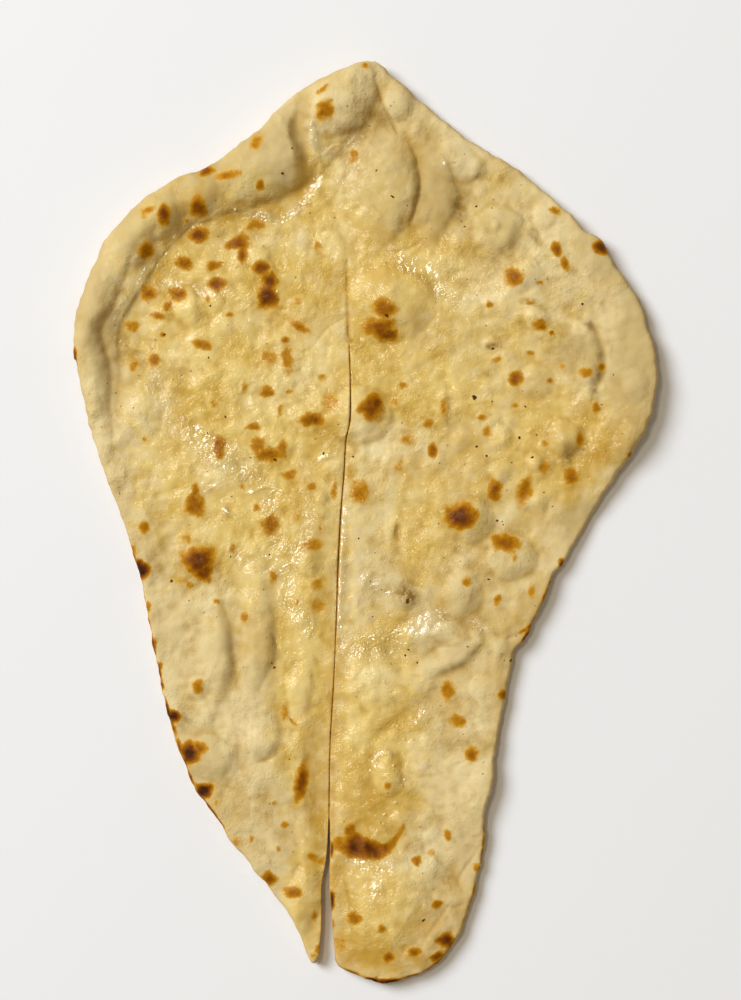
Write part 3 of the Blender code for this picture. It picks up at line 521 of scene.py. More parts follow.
# Floury places where the dough stays pale, in the same form.
PALE = [
    (35, 73.5, 12, 10, 0, .70), (54, 76, 9, 9, 0, .90), (20, 22.5, 7, 8, 0, .45), (13.5, 4, 7, 12, 0, .20),
    (4, 24, 8, 8, 0, 1.0), (67, 39, 6, 6, 0, .60), (16, -104, 8, 12, 0, .85), (-21, 47, 8, 9, 0, .60),
    (-8, 12, 4, 20, 0, .40), (30, -60, 7, 10, 0, .70), (18, -74, 7, 8, 0, .60), (-46, 16, 8, 8, 0, .60),
    (-38, -63, 13, 8, 0, .50), (28, 112, 8, 6, -35, .55), (-17.5, 55, 5, 10, 0, .50),
    # the patch at (-5, 108) is painted light: lighter dough in place of the butter's shine there
    (-5, 108, 8, 10, 0, .75),
    (-82, 34, 5, 16, 0, .60), (-61, -54, 4, 14, 15, .60), (4, -48, 8, 8, 0, .60), (42, 1, 6, 8, 0, .50),
    (-64, 36, 6, 10, 0, .40), (-30, 40, 9, 7, 0, .50), (52, 88, 8, 7, 0, .70), (-46, -22, 8, 6, 0, .60),
    (4, 6, 6, 20, 0, .40), (3, -16, 6, 14, 0, .60), (29, -12, 7, 7, 0, .50), (30, -74, 6, 6, 0, .50),
    (-34, 87, 16, 5, 0, .40), (-8, 88, 7, 7, 0, .40), (-35, 62, 8, 6, 0, .40), (-58, 50, 7, 7, 0, .40),
    (26, 88, 6, 6, 0, .30),
]

# Dry places that are duller than the rest, and the shaded flanks of the tall bubble, the leaning puff and the
# left lobe's puffs, whose darker colour there is painted shade, in the same form.
DULL_AND_SHADED = [
    (84, 48, 9, 30, -6, 1.0), (72, 82, 5, 12, 40, .60), (48, -38, 5, 10, -25, 1.0),
    (-84, 66, 6, 24, 5, .90),
    (-50, 104, 22, 8, 35, .90), (-30, 115, 17, 10, 35, .90), (6, 104, 9, 15, 0, .85),
    (20, 104, 9, 15, 0, 1.0),
    (40.6, 90.6, 8, 7, 0, .80), (66, 52, 9, 8, -20, 1.0), (52, 43.6, 5, 5, 0, .50),
    (61.5, 25.6, 5, 5, 0, .55),
    (33.2, 0, 6.5, 6.5, 0, .55), (45.4, -12, 7, 6, 0, .40), (29.8, -22, 5, 7, 0, .50),
    (42, 15.6, 4, 4, 0, .40),
    (-49, -73, 7, 7, 0, .60), (-43.6, -42, 3, 14, 0, .80), (-31, -34, 4, 17, 0, 1.0),
    (8, 66, 10, 9, 0, .20),
    (-72, 90, 8, 8, 30, .80), (66, 1, 6, 9, -30, .90), (54, -24, 5, 8, -30, .80), (29, -41, 6, 6, 0, .50),
    (33, -104, 5, 14, 0, .50),
]

# Where the butter still shines: runs of x, y, half width, amount.
SHINING = {
    "rim, upper": [
        (-17.5, 121, 1.4, 1), (-15.7, 115.5, 1.6, 1), (-16.9, 110.2, 1.5, 1), (-16.3, 104.6, 1.6, 1),
        (-20.6, 97.5, 1.6, 1), (-26.8, 93.2, 1.5, 1),
    ],
    "under the tip": [(-15, 116, 2, .8), (-10, 115, 2.4, .8), (-5, 117.5, 2.2, .7), (-1.5, 119.5, 1.6, .4)],
    "rim, left": [
        (-26.8, 93.2, 1.8, 1), (-37.7, 95.6, 1.6, 1), (-44.5, 96.9, 1.8, 1), (-55.6, 91.3, 1.8, 1),
        (-58.7, 87, 1.8, 1), (-63.1, 82.3, 1.8, 1), (-67.7, 77.7, 1.8, 1), (-71.1, 71.1, 1.8, 1),
        (-74.9, 66.8, 1.8, 1), (-77, 60.6, 1.8, 1), (-76.4, 56.6, 1.6, .8),
    ],
    "among the spots": [(-62.5, 73.6, 3, .7), (-54.7, 72.7, 3, .8), (-47, 70.5, 3, .6), (-41.7, 72.1, 3, .5)],
    "right of the bubble": [
        (8, 84, 3, .6), (12, 81, 4, .9), (18.1, 77.7, 4.6, .9), (22.8, 72.1, 4.2, .9), (29, 69, 3.4, .6),
    ],
    "left shoulder": [(-65.6, 47.3, 4, .6), (-63.9, 38, 4.4, .6), (-60.3, 28.7, 4, .6)],
    "left middle": [(-54.7, 28.7, 6, .7), (-47.4, 22.5, 7, .8), (-40.8, 18.3, 7, .8), (-33, 15.2, 6, .6)],
    "by the cut": [
        (-20.6, 20.9, 3.5, .4), (-18.1, 10.1, 3.5, .5), (-17.6, -2.3, 4, .6), (-23.3, -10.6, 5, .7),
        (-34, -12.5, 6, .7), (-41, -9, 4, .5),
    ],
    "left lobe": [(-30, 7, 4, .7), (-25, -18, 4.5, .7), (-23.6, -25, 5, .8), (-18, -33, 4, .7)],
    "across the right lobe": [
        (-5.1, -38.4, 6, .8), (5.7, -38.4, 6, .8), (14.6, -33.9, 5, .8), (24, -30.5, 3, .6),
    ],
    "below the dark crescent": [
        (-4.5, -104, 2.6, 1), (1.1, -106.2, 3, 1), (6.7, -107.1, 2.6, 1), (8.8, -104.6, 2.2, .8),
    ],
    "lobe end": [(3.6, -110.8, 2.6, .8), (2.6, -115.5, 2.6, .8), (1.7, -118.6, 2, .6)],
    "above the lobe": [(0, -18, 3, .7), (7, -21, 3, .7)],
    "right of the lobe": [(32, -30, 2.2, .4), (36.7, -33, 2.2, .5)],
}

# Beads of melted butter: x, y, radius.
BEADS = [
    (11.9, -67.4, .8), (9.8, -63.4, .6), (9.1, -87.0, .8), (5.7, -90.7, .8), (11.9, -79.8, .6),
    (6.0, -72.4, .5), (8.4, -75.5, .7), (-40.5, 97.0, .7), (-36.5, 94.0, .5), (-27.5, 71.5, .6),
    (20.5, 75.5, .6), (24.5, 70.5, .7), (-2.0, -105.3, .6), (4.0, -107.4, .7), (-21.5, 24.5, .5),
    (11.6, -62.8, .5), (14.7, -67.4, .6), (2.9, -67.4, .5), (11.0, -81.4, .5),
]


def smooth_run(rows, step):
    """Points about step apart on a smooth curve through the rows, whose first two values are x, y."""
    rows = np.array(rows, float)
    ends = np.vstack([2 * rows[0] - rows[1], rows, 2 * rows[-1] - rows[-2]])
    points = []
    for a, b, c, d in zip(ends, ends[1:], ends[2:], ends[3:]):
        count = max(1, round(float(np.linalg.norm((c - b)[:2])) / step))
        for t in np.arange(count) / count:
            bend = (2 * a - 5 * b + 4 * c - d) * t * t + (3 * b - a - 3 * c + d) * t ** 3
            points.append(0.5 * (2 * b + (c - a) * t + bend))
    return np.array(points + [rows[-1]])


def cut_side(side, step):
    """One wall of the cut, from its start down; side is -1 for the left wall, 1 for the right."""
    rows = np.array(CUT, float)
    rows[:, 0] += side * rows[:, 2] / 2
    return smooth_run(rows[:, :2], step)


def dough_noise(points, span, seed, octaves=2):
    """Smooth unevenness between about -1 and 1 that changes over span."""
    return np.array([noise.fractal((x / span, y / span, seed), 1.0, 2.0, octaves) for x, y in points])


def waves(points, rows):
    """Several spans of unevenness on top of each other."""
    return sum(height * dough_noise(points, span, seed, octaves) for span, seed, octaves, height in rows)


def patches(points, span, seed, middle, contrast, most=1.0):
    """Uneven patches from 0 to most, which come and go over span."""
    return np.clip(middle + contrast * dough_noise(points, span, seed), 0, most)


def inward(loop):
    """Unit vectors into the bread at each point of its clockwise outline."""
    along = np.roll(loop, -1, axis=0) - np.roll(loop, 1, axis=0)
    turned = np.column_stack([along[:, 1], -along[:, 0]])
    return turned / np.linalg.norm(turned, axis=1, keepdims=True)


def rim_line(step):
    """The rim, a little uneven as torn and stretched dough is, but not where it meets the cut."""
    rim = smooth_run(RIM, step)
    from_ends = np.minimum(*(np.linalg.norm(rim - end, axis=1) for end in (rim[0], rim[-1])))
    fade = np.clip(from_ends / 10 - 0.2, 0, 1)
    return rim + inward(rim) * (waves(rim, RIM_WAVES) * fade)[:, None]


def outline():
    """The bread's closed plan, clockwise, and whether each point is on the cut."""
    rim = rim_line(RIM_STEP)
    loop = np.vstack([rim, cut_side(1, RIM_STEP)[::-1], cut_side(-1, RIM_STEP)[1:]])
    return loop, np.arange(len(loop)) >= len(rim)


def nearest(points, targets):
    tree = KDTree(len(targets))
    for i, (x, y) in enumerate(targets):
        tree.insert((x, y, 0), i)
    tree.balance()
    return np.array([tree.find((x, y, 0))[2] for x, y in points])


def edge_distances(points):
    """How far each point is from the rim and from the cut."""
    walls = np.vstack([cut_side(-1, FINE_STEP), cut_side(1, FINE_STEP)])
    return nearest(points, rim_line(FINE_STEP)), nearest(points, walls)


def in_ellipse(points, x, y, half_width, half_length, turn):
    """How far across and along an ellipse each point is, 1 being its half width and half length."""
    c, s = math.cos(math.radians(turn)), math.sin(math.radians(turn))
    dx, dy = points[:, 0] - x, points[:, 1] - y
    return (dx * c + dy * s) / half_width, (dy * c - dx * s) / half_length


def ellipse_reach(points, ellipse):
    """0 at the middle of an ellipse, 1 on its outline."""
    return np.hypot(*in_ellipse(points, *ellipse))


def near_run(points, rows):
    """A smooth run through the rows, the points within its reach, and for each of those the run's
    nearest point, how far off that is, and the way from it."""
    run = smooth_run(rows, RUN_STEP)
    margin = run[:, 2].max()
    low, high = run[:, :2].min(axis=0) - margin, run[:, :2].max(axis=0) + margin
    near = np.nonzero(((points > low) & (points < high)).all(axis=1))[0]
    offsets = points[near][:, None] - run[None, :, :2]
    gaps = np.linalg.norm(offsets, axis=2)
    at = gaps.argmin(axis=1)
    pick = np.arange(len(near))
    return run, near, at, gaps[pick, at], offsets[pick, at]


def run_field(points, rows, softness):
    """A run's last value, fading out across its half width."""
    run, near, at, away, _ = near_run(points, rows)
    field = np.zeros(len(points))
    field[near] = run[at, 3] * np.maximum(0, 1 - (away / run[at, 2]) ** 2) ** softness
    return field


def step_field(points, foot, rows):
    """A gentle rise on the right hand of a run, from nothing at its reach, that ends in a steep foot."""
    run, near, at, away, offset = near_run(points, rows)
    along = np.gradient(run[:, :2], axis=0)
    along /= np.linalg.norm(along, axis=1, keepdims=True)
    is_rise = offset[:, 0] * along[at, 1] > offset[:, 1] * along[at, 0]
    rise = (1 - (1 - np.minimum(away / foot, 1)) ** 2) * np.maximum(0, 1 - away / run[at, 2]) ** 1.3
    field = np.zeros(len(points))
    field[near] = np.where(is_rise, run[at, 3] * rise, 0)
    return field


def lift_height(points):
    """How far the underside is off the surface: nothing in the middle, most at the shoulders."""
    height = np.zeros(len(points))
    for x, y, reach, top in LIFTS:
        away = np.hypot(points[:, 0] - x, points[:, 1] - y) / reach
        height = np.maximum(height, top * np.maximum(0, 1 - away) ** 1.6)
    return height


def wandered(points, seed):
    """The plan pushed about a little, so that blisters and spots aren't true ellipses."""
    wide = [dough_noise(points, 7.0, seed + i) for i in (0, 5)]
    return points + 0.9 * np.column_stack(wide)


def small_blisters():
    """The many low blisters between the listed ones, placed by a seeded draw."""
    draw = random.Random(11)
    rows = []
    for _ in range(BLISTER_COUNT):
        size = 1.3 + 3.2 * draw.random() ** 2
        stretch = 0.75 + 0.6 * draw.random()
        steep = 0.08 + 0.12 * draw.random()
        place = (draw.uniform(-REACH_X, REACH_X), draw.uniform(-REACH_Y, REACH_Y))
        rows.append((*place, size, size * stretch, draw.uniform(0, 180), steep * size, 0.8))
    return rows


def cobbles(points):
    """Low swellings side by side, 0 in the creases between them and 1 at their tops."""
    draw = random.Random(5)
    count = round(4 * REACH_X * REACH_Y / COBBLE ** 2)
    centres = [(draw.uniform(-REACH_X, REACH_X), draw.uniform(-REACH_Y, REACH_Y)) for _ in range(count)]
    return np.maximum(0, 1 - (nearest(points, centres) / COBBLE) ** 2)


def relief(points):
    """Height of the skin over the plain sheet of dough."""
    moved = wandered(points, 2.0)
    height = np.zeros(len(points))
    for *ellipse, top, crisp in PUFFS + small_blisters():
        height += top * np.maximum(0, 1 - ellipse_reach(moved, ellipse) ** 2) ** crisp
    for x, y, half_width, half_length, turn, dark in BROWNED:
        foot = (x, y, half_width * SPOT_FOOT, half_length * SPOT_FOOT, turn)
        height += SPOT_SWELL * dark * np.maximum(0, 1 - ellipse_reach(moved, foot) ** 2) ** 1.5
    for crisp, rows in FOLDS.values():
        height += run_field(moved, rows, crisp)
    for foot, rows in STEPS.values():
        height += step_field(moved, foot, rows)
    for rows in FINE_LINES:
        height += run_field(points, rows, 1.0)
    low_swellings = COBBLE_HEIGHT * cobbles(moved) * patches(points, 22.0, 27.0, 0.45, 1.6)
    return height + waves(points, SKIN_WAVES) + low_swellings


def rounding(distance, reach):
    """A quarter ellipse: 0 at the edge, 1 from reach inwards."""
    return np.sqrt(1 - (1 - np.minimum(distance / reach, 1)) ** 2)


def seam_heights(points):
    """Heights of the lower and upper edge of the side wall, as shares of the thickness."""
    cut = np.clip(SEAM_BLEND - edge_distances(points)[1], 0, 1)
    return [at_rim + (at_cut - at_rim) * cut for at_rim, at_cut in zip(RIM_SEAMS, CUT_SEAMS)]


def top_height(points):
    to_rim, to_cut = edge_distances(points)
    share = np.minimum(rounding(to_rim, RIM_ROUND), rounding(to_cut, CUT_ROUND))
    start = seam_heights(points)[1]
    return lift_height(points) + (SHEET + relief(points)) * (start + (1 - start) * share)


def under_height(points):
    to_rim, to_cut = edge_distances(points)
    share = np.minimum(rounding(to_rim, UNDER_ROUND), rounding(to_cut, CUT_ROUND))
    dents = 0.25 * np.maximum(0, dough_noise(points, 9.0, 21.5)) * share
    return lift_height(points) + SHEET * seam_heights(points)[0] * (1 - share) + dents


def inside(points, loop):
    """Whether each point is inside the loop, by the crossings of a ray along +X."""
    x, y = points[:, 0], points[:, 1]
    hit = np.zeros(len(points), bool)
    for (ax, ay), (bx, by) in zip(loop, np.roll(loop, -1, axis=0)):
        if ay == by:
            continue
        crosses = (ay > y) != (by > y)
        hit ^= crosses & (x < ax + (y - ay) * (bx - ax) / (by - ay))
    return hit


def clear_of_edge(points, loop, distance):
    kept = points[inside(points, loop)]
    return kept[np.minimum(*edge_distances(kept)) > distance]


def crease_points():
    """Rows of points along each crease and thread, so that it has a straight bottom or top."""
    found = []
    for rows in FINE_LINES:
        run = smooth_run(rows, RUN_STEP)[:, :2]
        along = np.gradient(run, axis=0)
        across = np.column_stack([along[:, 1], -along[:, 0]]) / np.linalg.norm(along, axis=1)[:, None]
        found += [run + across * offset for offset in CREASE_OFFSETS]
    return np.vstack(found)


def plan_points(loop, rings, step):
    """Points of one face inside the loop: rings along the edge, then a lattice of triangles."""
    low, high = loop.min(axis=0), loop.max(axis=0)
    rows = np.arange(low[1], high[1], step * math.sqrt(3) / 2)
    columns = np.arange(low[0], high[0], step)
    lattice = np.array([(x + step / 2 * (i % 2), y) for i, y in enumerate(rows) for x in columns])
    creases = crease_points() if step < CREASE_CLEAR else np.empty((0, 2))
    if len(creases):
        lattice = lattice[nearest(lattice, creases) > CREASE_CLEAR / 2]
        lattice = np.vstack([lattice, creases])
    found = []
    for depth in rings:
        found.append(clear_of_edge(loop + inward(loop) * depth, loop, RING_CLEAR * depth))
    found.append(clear_of_edge(lattice, loop, rings[-1] + EDGE_CLEAR * step))
    return np.vstack(found)


def triangles(loop, points):
    """Triangles over the loop and the points inside it, anticlockwise seen from above."""
    flat = [Vector(p) for p in np.vstack([loop, points])]
    made = delaunay_2d_cdt(flat, [], [list(range(len(loop)))], 1, 1e-6)
    names = np.array([ids[0] for ids in made[3]])
    faces = names[np.array(made[2])]
    corners = np.vstack([loop, points])[faces]
    first, second = corners[:, 1] - corners[:, 0], corners[:, 2] - corners[:, 0]
    turn = first[:, 0] * second[:, 1] - first[:, 1] * second[:, 0]
    faces[turn < 0] = faces[turn < 0][:, ::-1]
    return faces


def angular_reach(points, ellipse, corners, spin):
    """As ellipse_reach, for a blunt polygon drawn in the ellipse."""
    across, along = in_ellipse(points, *ellipse)
    sector = 2 * math.pi / corners
    from_side = (np.arctan2(along, across) + spin) % sector - sector / 2
    return np.hypot(across, along) * (0.55 + 0.50 * np.cos(from_side))


def spot_field(points, rows, core, fringe):
    """The strongest of the spots at each point: whole up to core times a spot's size, none beyond fringe."""
    field = np.zeros(len(points))
    ragged = 0.26 * dough_noise(points, 3.0, 5.3, 3)
    draw = random.Random(len(rows))
    for *ellipse, dark in rows:
        reach = angular_reach(points, ellipse, draw.choice((3, 4, 5, 5)), draw.uniform(0, 6)) + ragged
        field = np.maximum(field, dark * np.clip((fringe - reach) / (fringe - core), 0, 1))
    return field


def smoothed(values, faces, rounds):
    """Each value averaged with its neighbours' over and over."""
    ends = np.concatenate([faces[:, [0, 1]], faces[:, [1, 2]], faces[:, [2, 0]]])
    ends = np.concatenate([ends, ends[:, ::-1]])
    count = np.maximum(1, np.bincount(ends[:, 0], minlength=len(values)))
    for _ in range(rounds):
        around = np.bincount(ends[:, 0], weights=values[ends[:, 1]], minlength=len(values)) / count
        values = 0.5 * values + 0.5 * around
    return values


def bread_centre(loop):
    return (loop.min(axis=0) + loop.max(axis=0)) / 2


def side_wall(loop, on_cut, upper, lower):
    """The plan and heights of the wall's rows of points, from the top's edge to the underside's."""
    into = inward(loop)
    cut_rows = np.array(CUT)[::-1]
    gap = np.interp(loop[:, 1], cut_rows[:, 1], cut_rows[:, 2])
    plan, heights = [loop], [upper]
    for row in range(1, WALL_ROWS):
        share = row / WALL_ROWS
        crumb = np.array([noise.noise((x / CRUMB_SPAN, y / CRUMB_SPAN, row * CRUMB_SHIFT)) for x, y in loop])
        torn = np.where(gap < NEARLY_SHUT, 0.03 - gap / 2, 0.10 + 0.15 * crumb)
        push = np.where(on_cut, torn, -WALL_BULGE * math.sin(math.pi * share))
        plan.append(loop + into * push[:, None])
        heights.append(upper + (lower - upper) * share)
    return np.vstack([*plan, loop]), np.concatenate([*heights, lower])


def skin_faces(loop, top, under):
    """The top's triangles and all of the skin's. The wall's points come first, then the top's."""
    count = len(loop)
    last_row = count * WALL_ROWS
    top_faces = triangles(loop, top)
    top_faces[top_faces >= count] += last_row
    under_faces = triangles(loop, under)[:, ::-1].copy()
    is_loop = under_faces < count
    under_faces[is_loop] += last_row
    under_faces[~is_loop] += last_row + len(top)
    ring = np.arange(count)
    after = np.roll(ring, -1)
    wall_faces = []
    for row in range(WALL_ROWS):
        a, b = ring + row * count, after + row * count
        c, d = b + count, a + count
        wall_faces += [np.column_stack([a, b, c]), np.column_stack([a, c, d])]
    return top_faces, np.vstack([top_faces, *wall_faces, under_faces])


def over_the_edge(loop, plan, heights):
    """Where on the plan each point takes its colour from, and how far down the wall it is, 1 being its foot.

    Down the wall the colour comes from ever further out and aside, so spots run over the edge and fade.
    """
    rows = WALL_ROWS + 1
    walls = len(loop) * rows
    upper = np.tile(heights[:len(loop)], rows)
    lower = np.tile(heights[walls - len(loop):walls], rows)
    drop = upper - heights[:walls]
    into = np.tile(inward(loop), (rows, 1))
    along = np.column_stack([-into[:, 1], into[:, 0]])
    wall = zip(plan[:walls], heights)
    sway = np.array([noise.noise((x / SWAY_SPAN, y / SWAY_SPAN, z / SWAY_DROP)) for (x, y), z in wall])
    painted, down = plan.copy(), np.zeros(len(plan))
    painted[:walls] -= into * (WALL_SPREAD * drop)[:, None]
    painted[:walls] += along * (WALL_SWAY * sway * np.minimum(drop, 1))[:, None]
    down[:walls] = drop / (upper - lower)
    return painted, down


def hollow_fields(heights, faces):
    """How far each point is below the skin close by, 0 to 1, and below the skin round it, -1 to 1. The
    crust's colour is darker the deeper a point lies, as painted shade, and lighter on tops, as painted light.
    """
    close_by = smoothed(heights, faces, 6)
    near_by = smoothed(close_by, faces, 44)
    wide_by = smoothed(near_by, faces, 350)
    crease_shade = np.clip((close_by - heights) / WRINKLE_DEPTH, 0, 1)
    hollow_shade_and_butter = 0.5 * (near_by - heights) / NEAR_DEPTH + 0.5 * (wide_by - heights) / WIDE_DEPTH
    return crease_shade, np.clip(hollow_shade_and_butter, -1, 1)


def browned_field(plan, painted, down, on_top):
    """How browned or burnt each point is: 0 is raw dough's colour, and char is a little over 1."""
    toasted_foot = 0.5 * down ** 2 * patches(painted, 5.0, 37.0, 0.25, 1.6)
    edge = np.max([run_field(painted, rows, 0.7) for rows in EDGE_CHAR.values()], axis=0)
    edge *= patches(painted, 4.0, 23.0, 0.75, 1.2, 1.2)
    bow = run_field(wandered(plan, 71.0), BOW, 0.6) * (1 + 0.3 * dough_noise(plan, 2.6, 29.0))
    spots = spot_field(painted, BROWNED + CHARRED, 0.40, 1.45)
    return np.max([toasted_foot, edge, bow * on_top, spots * on_top], axis=0)


def surface_fields(loop, on_cut, plan, heights, top_faces, is_under):
    """What the crust's material reads at each point, by name."""
    on_top = 1 - is_under
    to_rim, to_cut = edge_distances(plan)
    painted, down = over_the_edge(loop, plan, heights)
    crease_shade, hollow_shade_and_butter = hollow_fields(heights, top_faces)
    from_rim = np.clip(to_rim / 6 - 0.3, 0, 1)
    in_cut = np.zeros(len(plan))
    in_cut[:len(loop) * (WALL_ROWS + 1)] = np.tile(on_cut, WALL_ROWS + 1)
    threads = [[(*row[:2], GLOW_WIDTH * row[2], 1) for row in rows] for rows in BUTTER_LINES.values()]
    shining = np.max([run_field(plan, rows, 1.0) for rows in (*SHINING.values(), *threads)], axis=0)
    fields = {
        "browned": browned_field(plan, painted, down, on_top),
        "shining": shining * on_top,
        "ash_and_shade": spot_field(painted, ASH_AND_SHADE, 0.2, 1.5) * on_top,
        "dull_and_shaded": spot_field(wandered(painted, 43.0), DULL_AND_SHADED, 0.6, 1.3),
        # darker along the rim: painted shade against the light that the edge's rounding catches
        "rim": np.clip(1 - to_rim / 1.8, 0, 1) * on_top,
        # painted shade in creases and hollows and painted light on tops, faded out near the rim
        "hollow_shade_and_butter": hollow_shade_and_butter * on_top * from_rim,
        "crease_shade": crease_shade * on_top * from_rim,
        # on the top within half a millimetre of the cut the crumb's brown is partly painted shade: the dark
        # line that the narrow cut shows
        "crumb": np.maximum(in_cut, np.clip(0.9 - to_cut / 0.5, 0, 0.7) * on_top),
        "underside": is_under,
    }
    tones = {
        "buttered": (31.0, BUTTERED, 0.6, 1.4),
        "pale": (67.0, PALE, 0.1, 1.5),
        "golden": (57.0, GOLDEN_AND_SHADE, 0.1, 1.5),
    }
    for name, (seed, rows, core, fringe) in tones.items():
        fields[name] = spot_field(wandered(painted, seed), rows, core, fringe) * on_top
    return fields


def bread_mesh():
    """Top, side wall and underside as one closed skin, with the fields that its material reads."""
    loop, on_cut = outline()
    top = plan_points(loop, TOP_RINGS, TOP_STEP)
    under = plan_points(loop, UNDER_RINGS, UNDER_STEP)
    wall_plan, wall_heights = side_wall(loop, on_cut, top_height(loop), under_height(loop))
    plan = np.vstack([wall_plan, top, under])
    heights = np.concatenate([wall_heights, top_height(top), under_height(under)])
    top_faces, faces = skin_faces(loop, top, under)
    placed = np.column_stack([plan - bread_centre(loop), heights]) * MM
    mesh = bpy.data.meshes.new("baked_naan")
    mesh.from_pydata(placed.tolist(), [], faces.tolist())
    mesh.shade_smooth()

    is_under = np.zeros(len(plan))
    is_under[len(wall_plan) - len(loop):len(wall_plan)] = 1
    is_under[len(wall_plan) + len(top):] = 1
    for name, values in surface_fields(loop, on_cut, plan, heights, top_faces, is_under).items():
        layer = mesh.attributes.new(name, "FLOAT", "POINT")
        layer.data.foreach_set("value", values.astype(np.float32))
    return mesh


def linear(colour):
    """An sRGB hex colour as the linear values that a shader takes."""
    parts = [int(colour[i:i + 2], 16) / 255 for i in (0, 2, 4)]
    return [p / 12.92 if p <= 0.04045 else ((p + 0.055) / 1.055) ** 2.4 for p in parts] + [1.0]


def per_metre(millimetres):
    """The scale of a pattern whose cells are this large, for coordinates in metres."""
    return 1000 / millimetres


def add(tree, kind, inputs=(), output=0, **settings):
    """Adds a node with its settings, fills its inputs, and gives one of its outputs.

    The inputs are named, or the first ones in order. A socket is linked, and a number or an sRGB hex
    colour is set.
    """
    made = tree.nodes.new(kind)
    for name, value in settings.items():
        setattr(made, name, value)
    for name, value in inputs.items() if isinstance(inputs, dict) else enumerate(inputs):
        if isinstance(value, bpy.types.NodeSocket):
            tree.links.new(value, made.inputs[name])
        else:
            made.inputs[name].default_value = linear(value) if isinstance(value, str) else value
    return made.outputs[output]


def new_material(name):
    material = bpy.data.materials.new(name)
    material.use_nodes = True
    return material, material.node_tree, material.node_tree.nodes["Principled BSDF"]


def set_ramp(ramp, stops, longest=1.0):
    """Puts the stops' sRGB colours on a colour ramp that reaches from 0 to longest."""
    elements = ramp.color_ramp.elements
    while len(elements) < len(stops):
        elements.new(1.0)
    for element, (place, colour) in zip(elements, stops):
        element.position = place / longest
        element.color = linear(colour)


MATH, RANGE, MIX, BUMP = "ShaderNodeMath", "ShaderNodeMapRange", "ShaderNodeMix", "ShaderNodeBump"
NOISE, CELLS, RAMP = "ShaderNodeTexNoise", "ShaderNodeTexVoronoi", "ShaderNodeValToRGB"
ADD, TIMES, TIMES_PLUS = {"operation": "ADD"}, {"operation": "MULTIPLY"}, {"operation": "MULTIPLY_ADD"}
SMOOTH = {"interpolation_type": "SMOOTHSTEP"}
COLOURS = {"data_type": "RGBA"}
MIX_FACTOR, MIX_A, MIX_B, MIX_RESULT = 0, 6, 7, 2

DARKEST = 1.25
BROWNING = [
    (0.00, "D6B058"), (0.20, "C8942A"), (0.38, "B57B0C"), (0.54, "A06602"), (0.70, "884C00"),
    (0.86, "713B00"), (1.02, "552900"), (1.25, "2A1403"),
]

# The dough's colour from the tops of blisters to the hollows, where dry and where buttered: lighter on the
# tops and darker in the hollows, as painted light and shade.
DRY = [(0.15, "E1CB93"), (0.45, "DAC289"), (0.70, "CDB070"), (0.92, "B08E4A")]
BUTTERY = [(0.15, "EACF84"), (0.45, "E2C371"), (0.70, "D3AE52"), (0.92, "B68C30")]

# The crust's patterns: the millimetres over which each changes, detail, roughness, distortion.
PATTERNS = [
    (26, 3, 0.5, 0.0),          # slow: thicker and thinner dough
    (11, 1, 0.5, 0.0),          # broad: heat that reached the dough unevenly
    (5.5, 4, 0.6, 0.0),         # mottle: flour and butter taken up unevenly
    (1.7, 5, 0.65, 0.4),        # ragged: the torn edges of spots and of wet places
    (0.7, 3, 0.6, 0.0),         # grain: the flour's, drawn coarser than it is so that it shows
    (2.8, 3, 0.55, 0.0),        # creased: the dried skin's fine creases
    (11, 2, 0.5, 0.6),          # roughened: where those creases are deep
    (6.0, 2, 0.5, 0.8),         # curling: ripples in the butter
    (2.8, 1, 0.5, 0.9),         # swelling: where the butter stands thicker
]
PORE, HOLE, BLOTCH = 3.6, 1.6, 17       # millimetres between pores, crumb holes, and the underside's spots
CURLS = 36.0            # how tightly the butter's ripples follow each other
FIELDS = (
    "browned", "buttered", "shining", "ash_and_shade", "pale", "dull_and_shaded", "rim", "hollow_shade_and_butter", "crease_shade", "golden",
    "crumb", "underside",
)


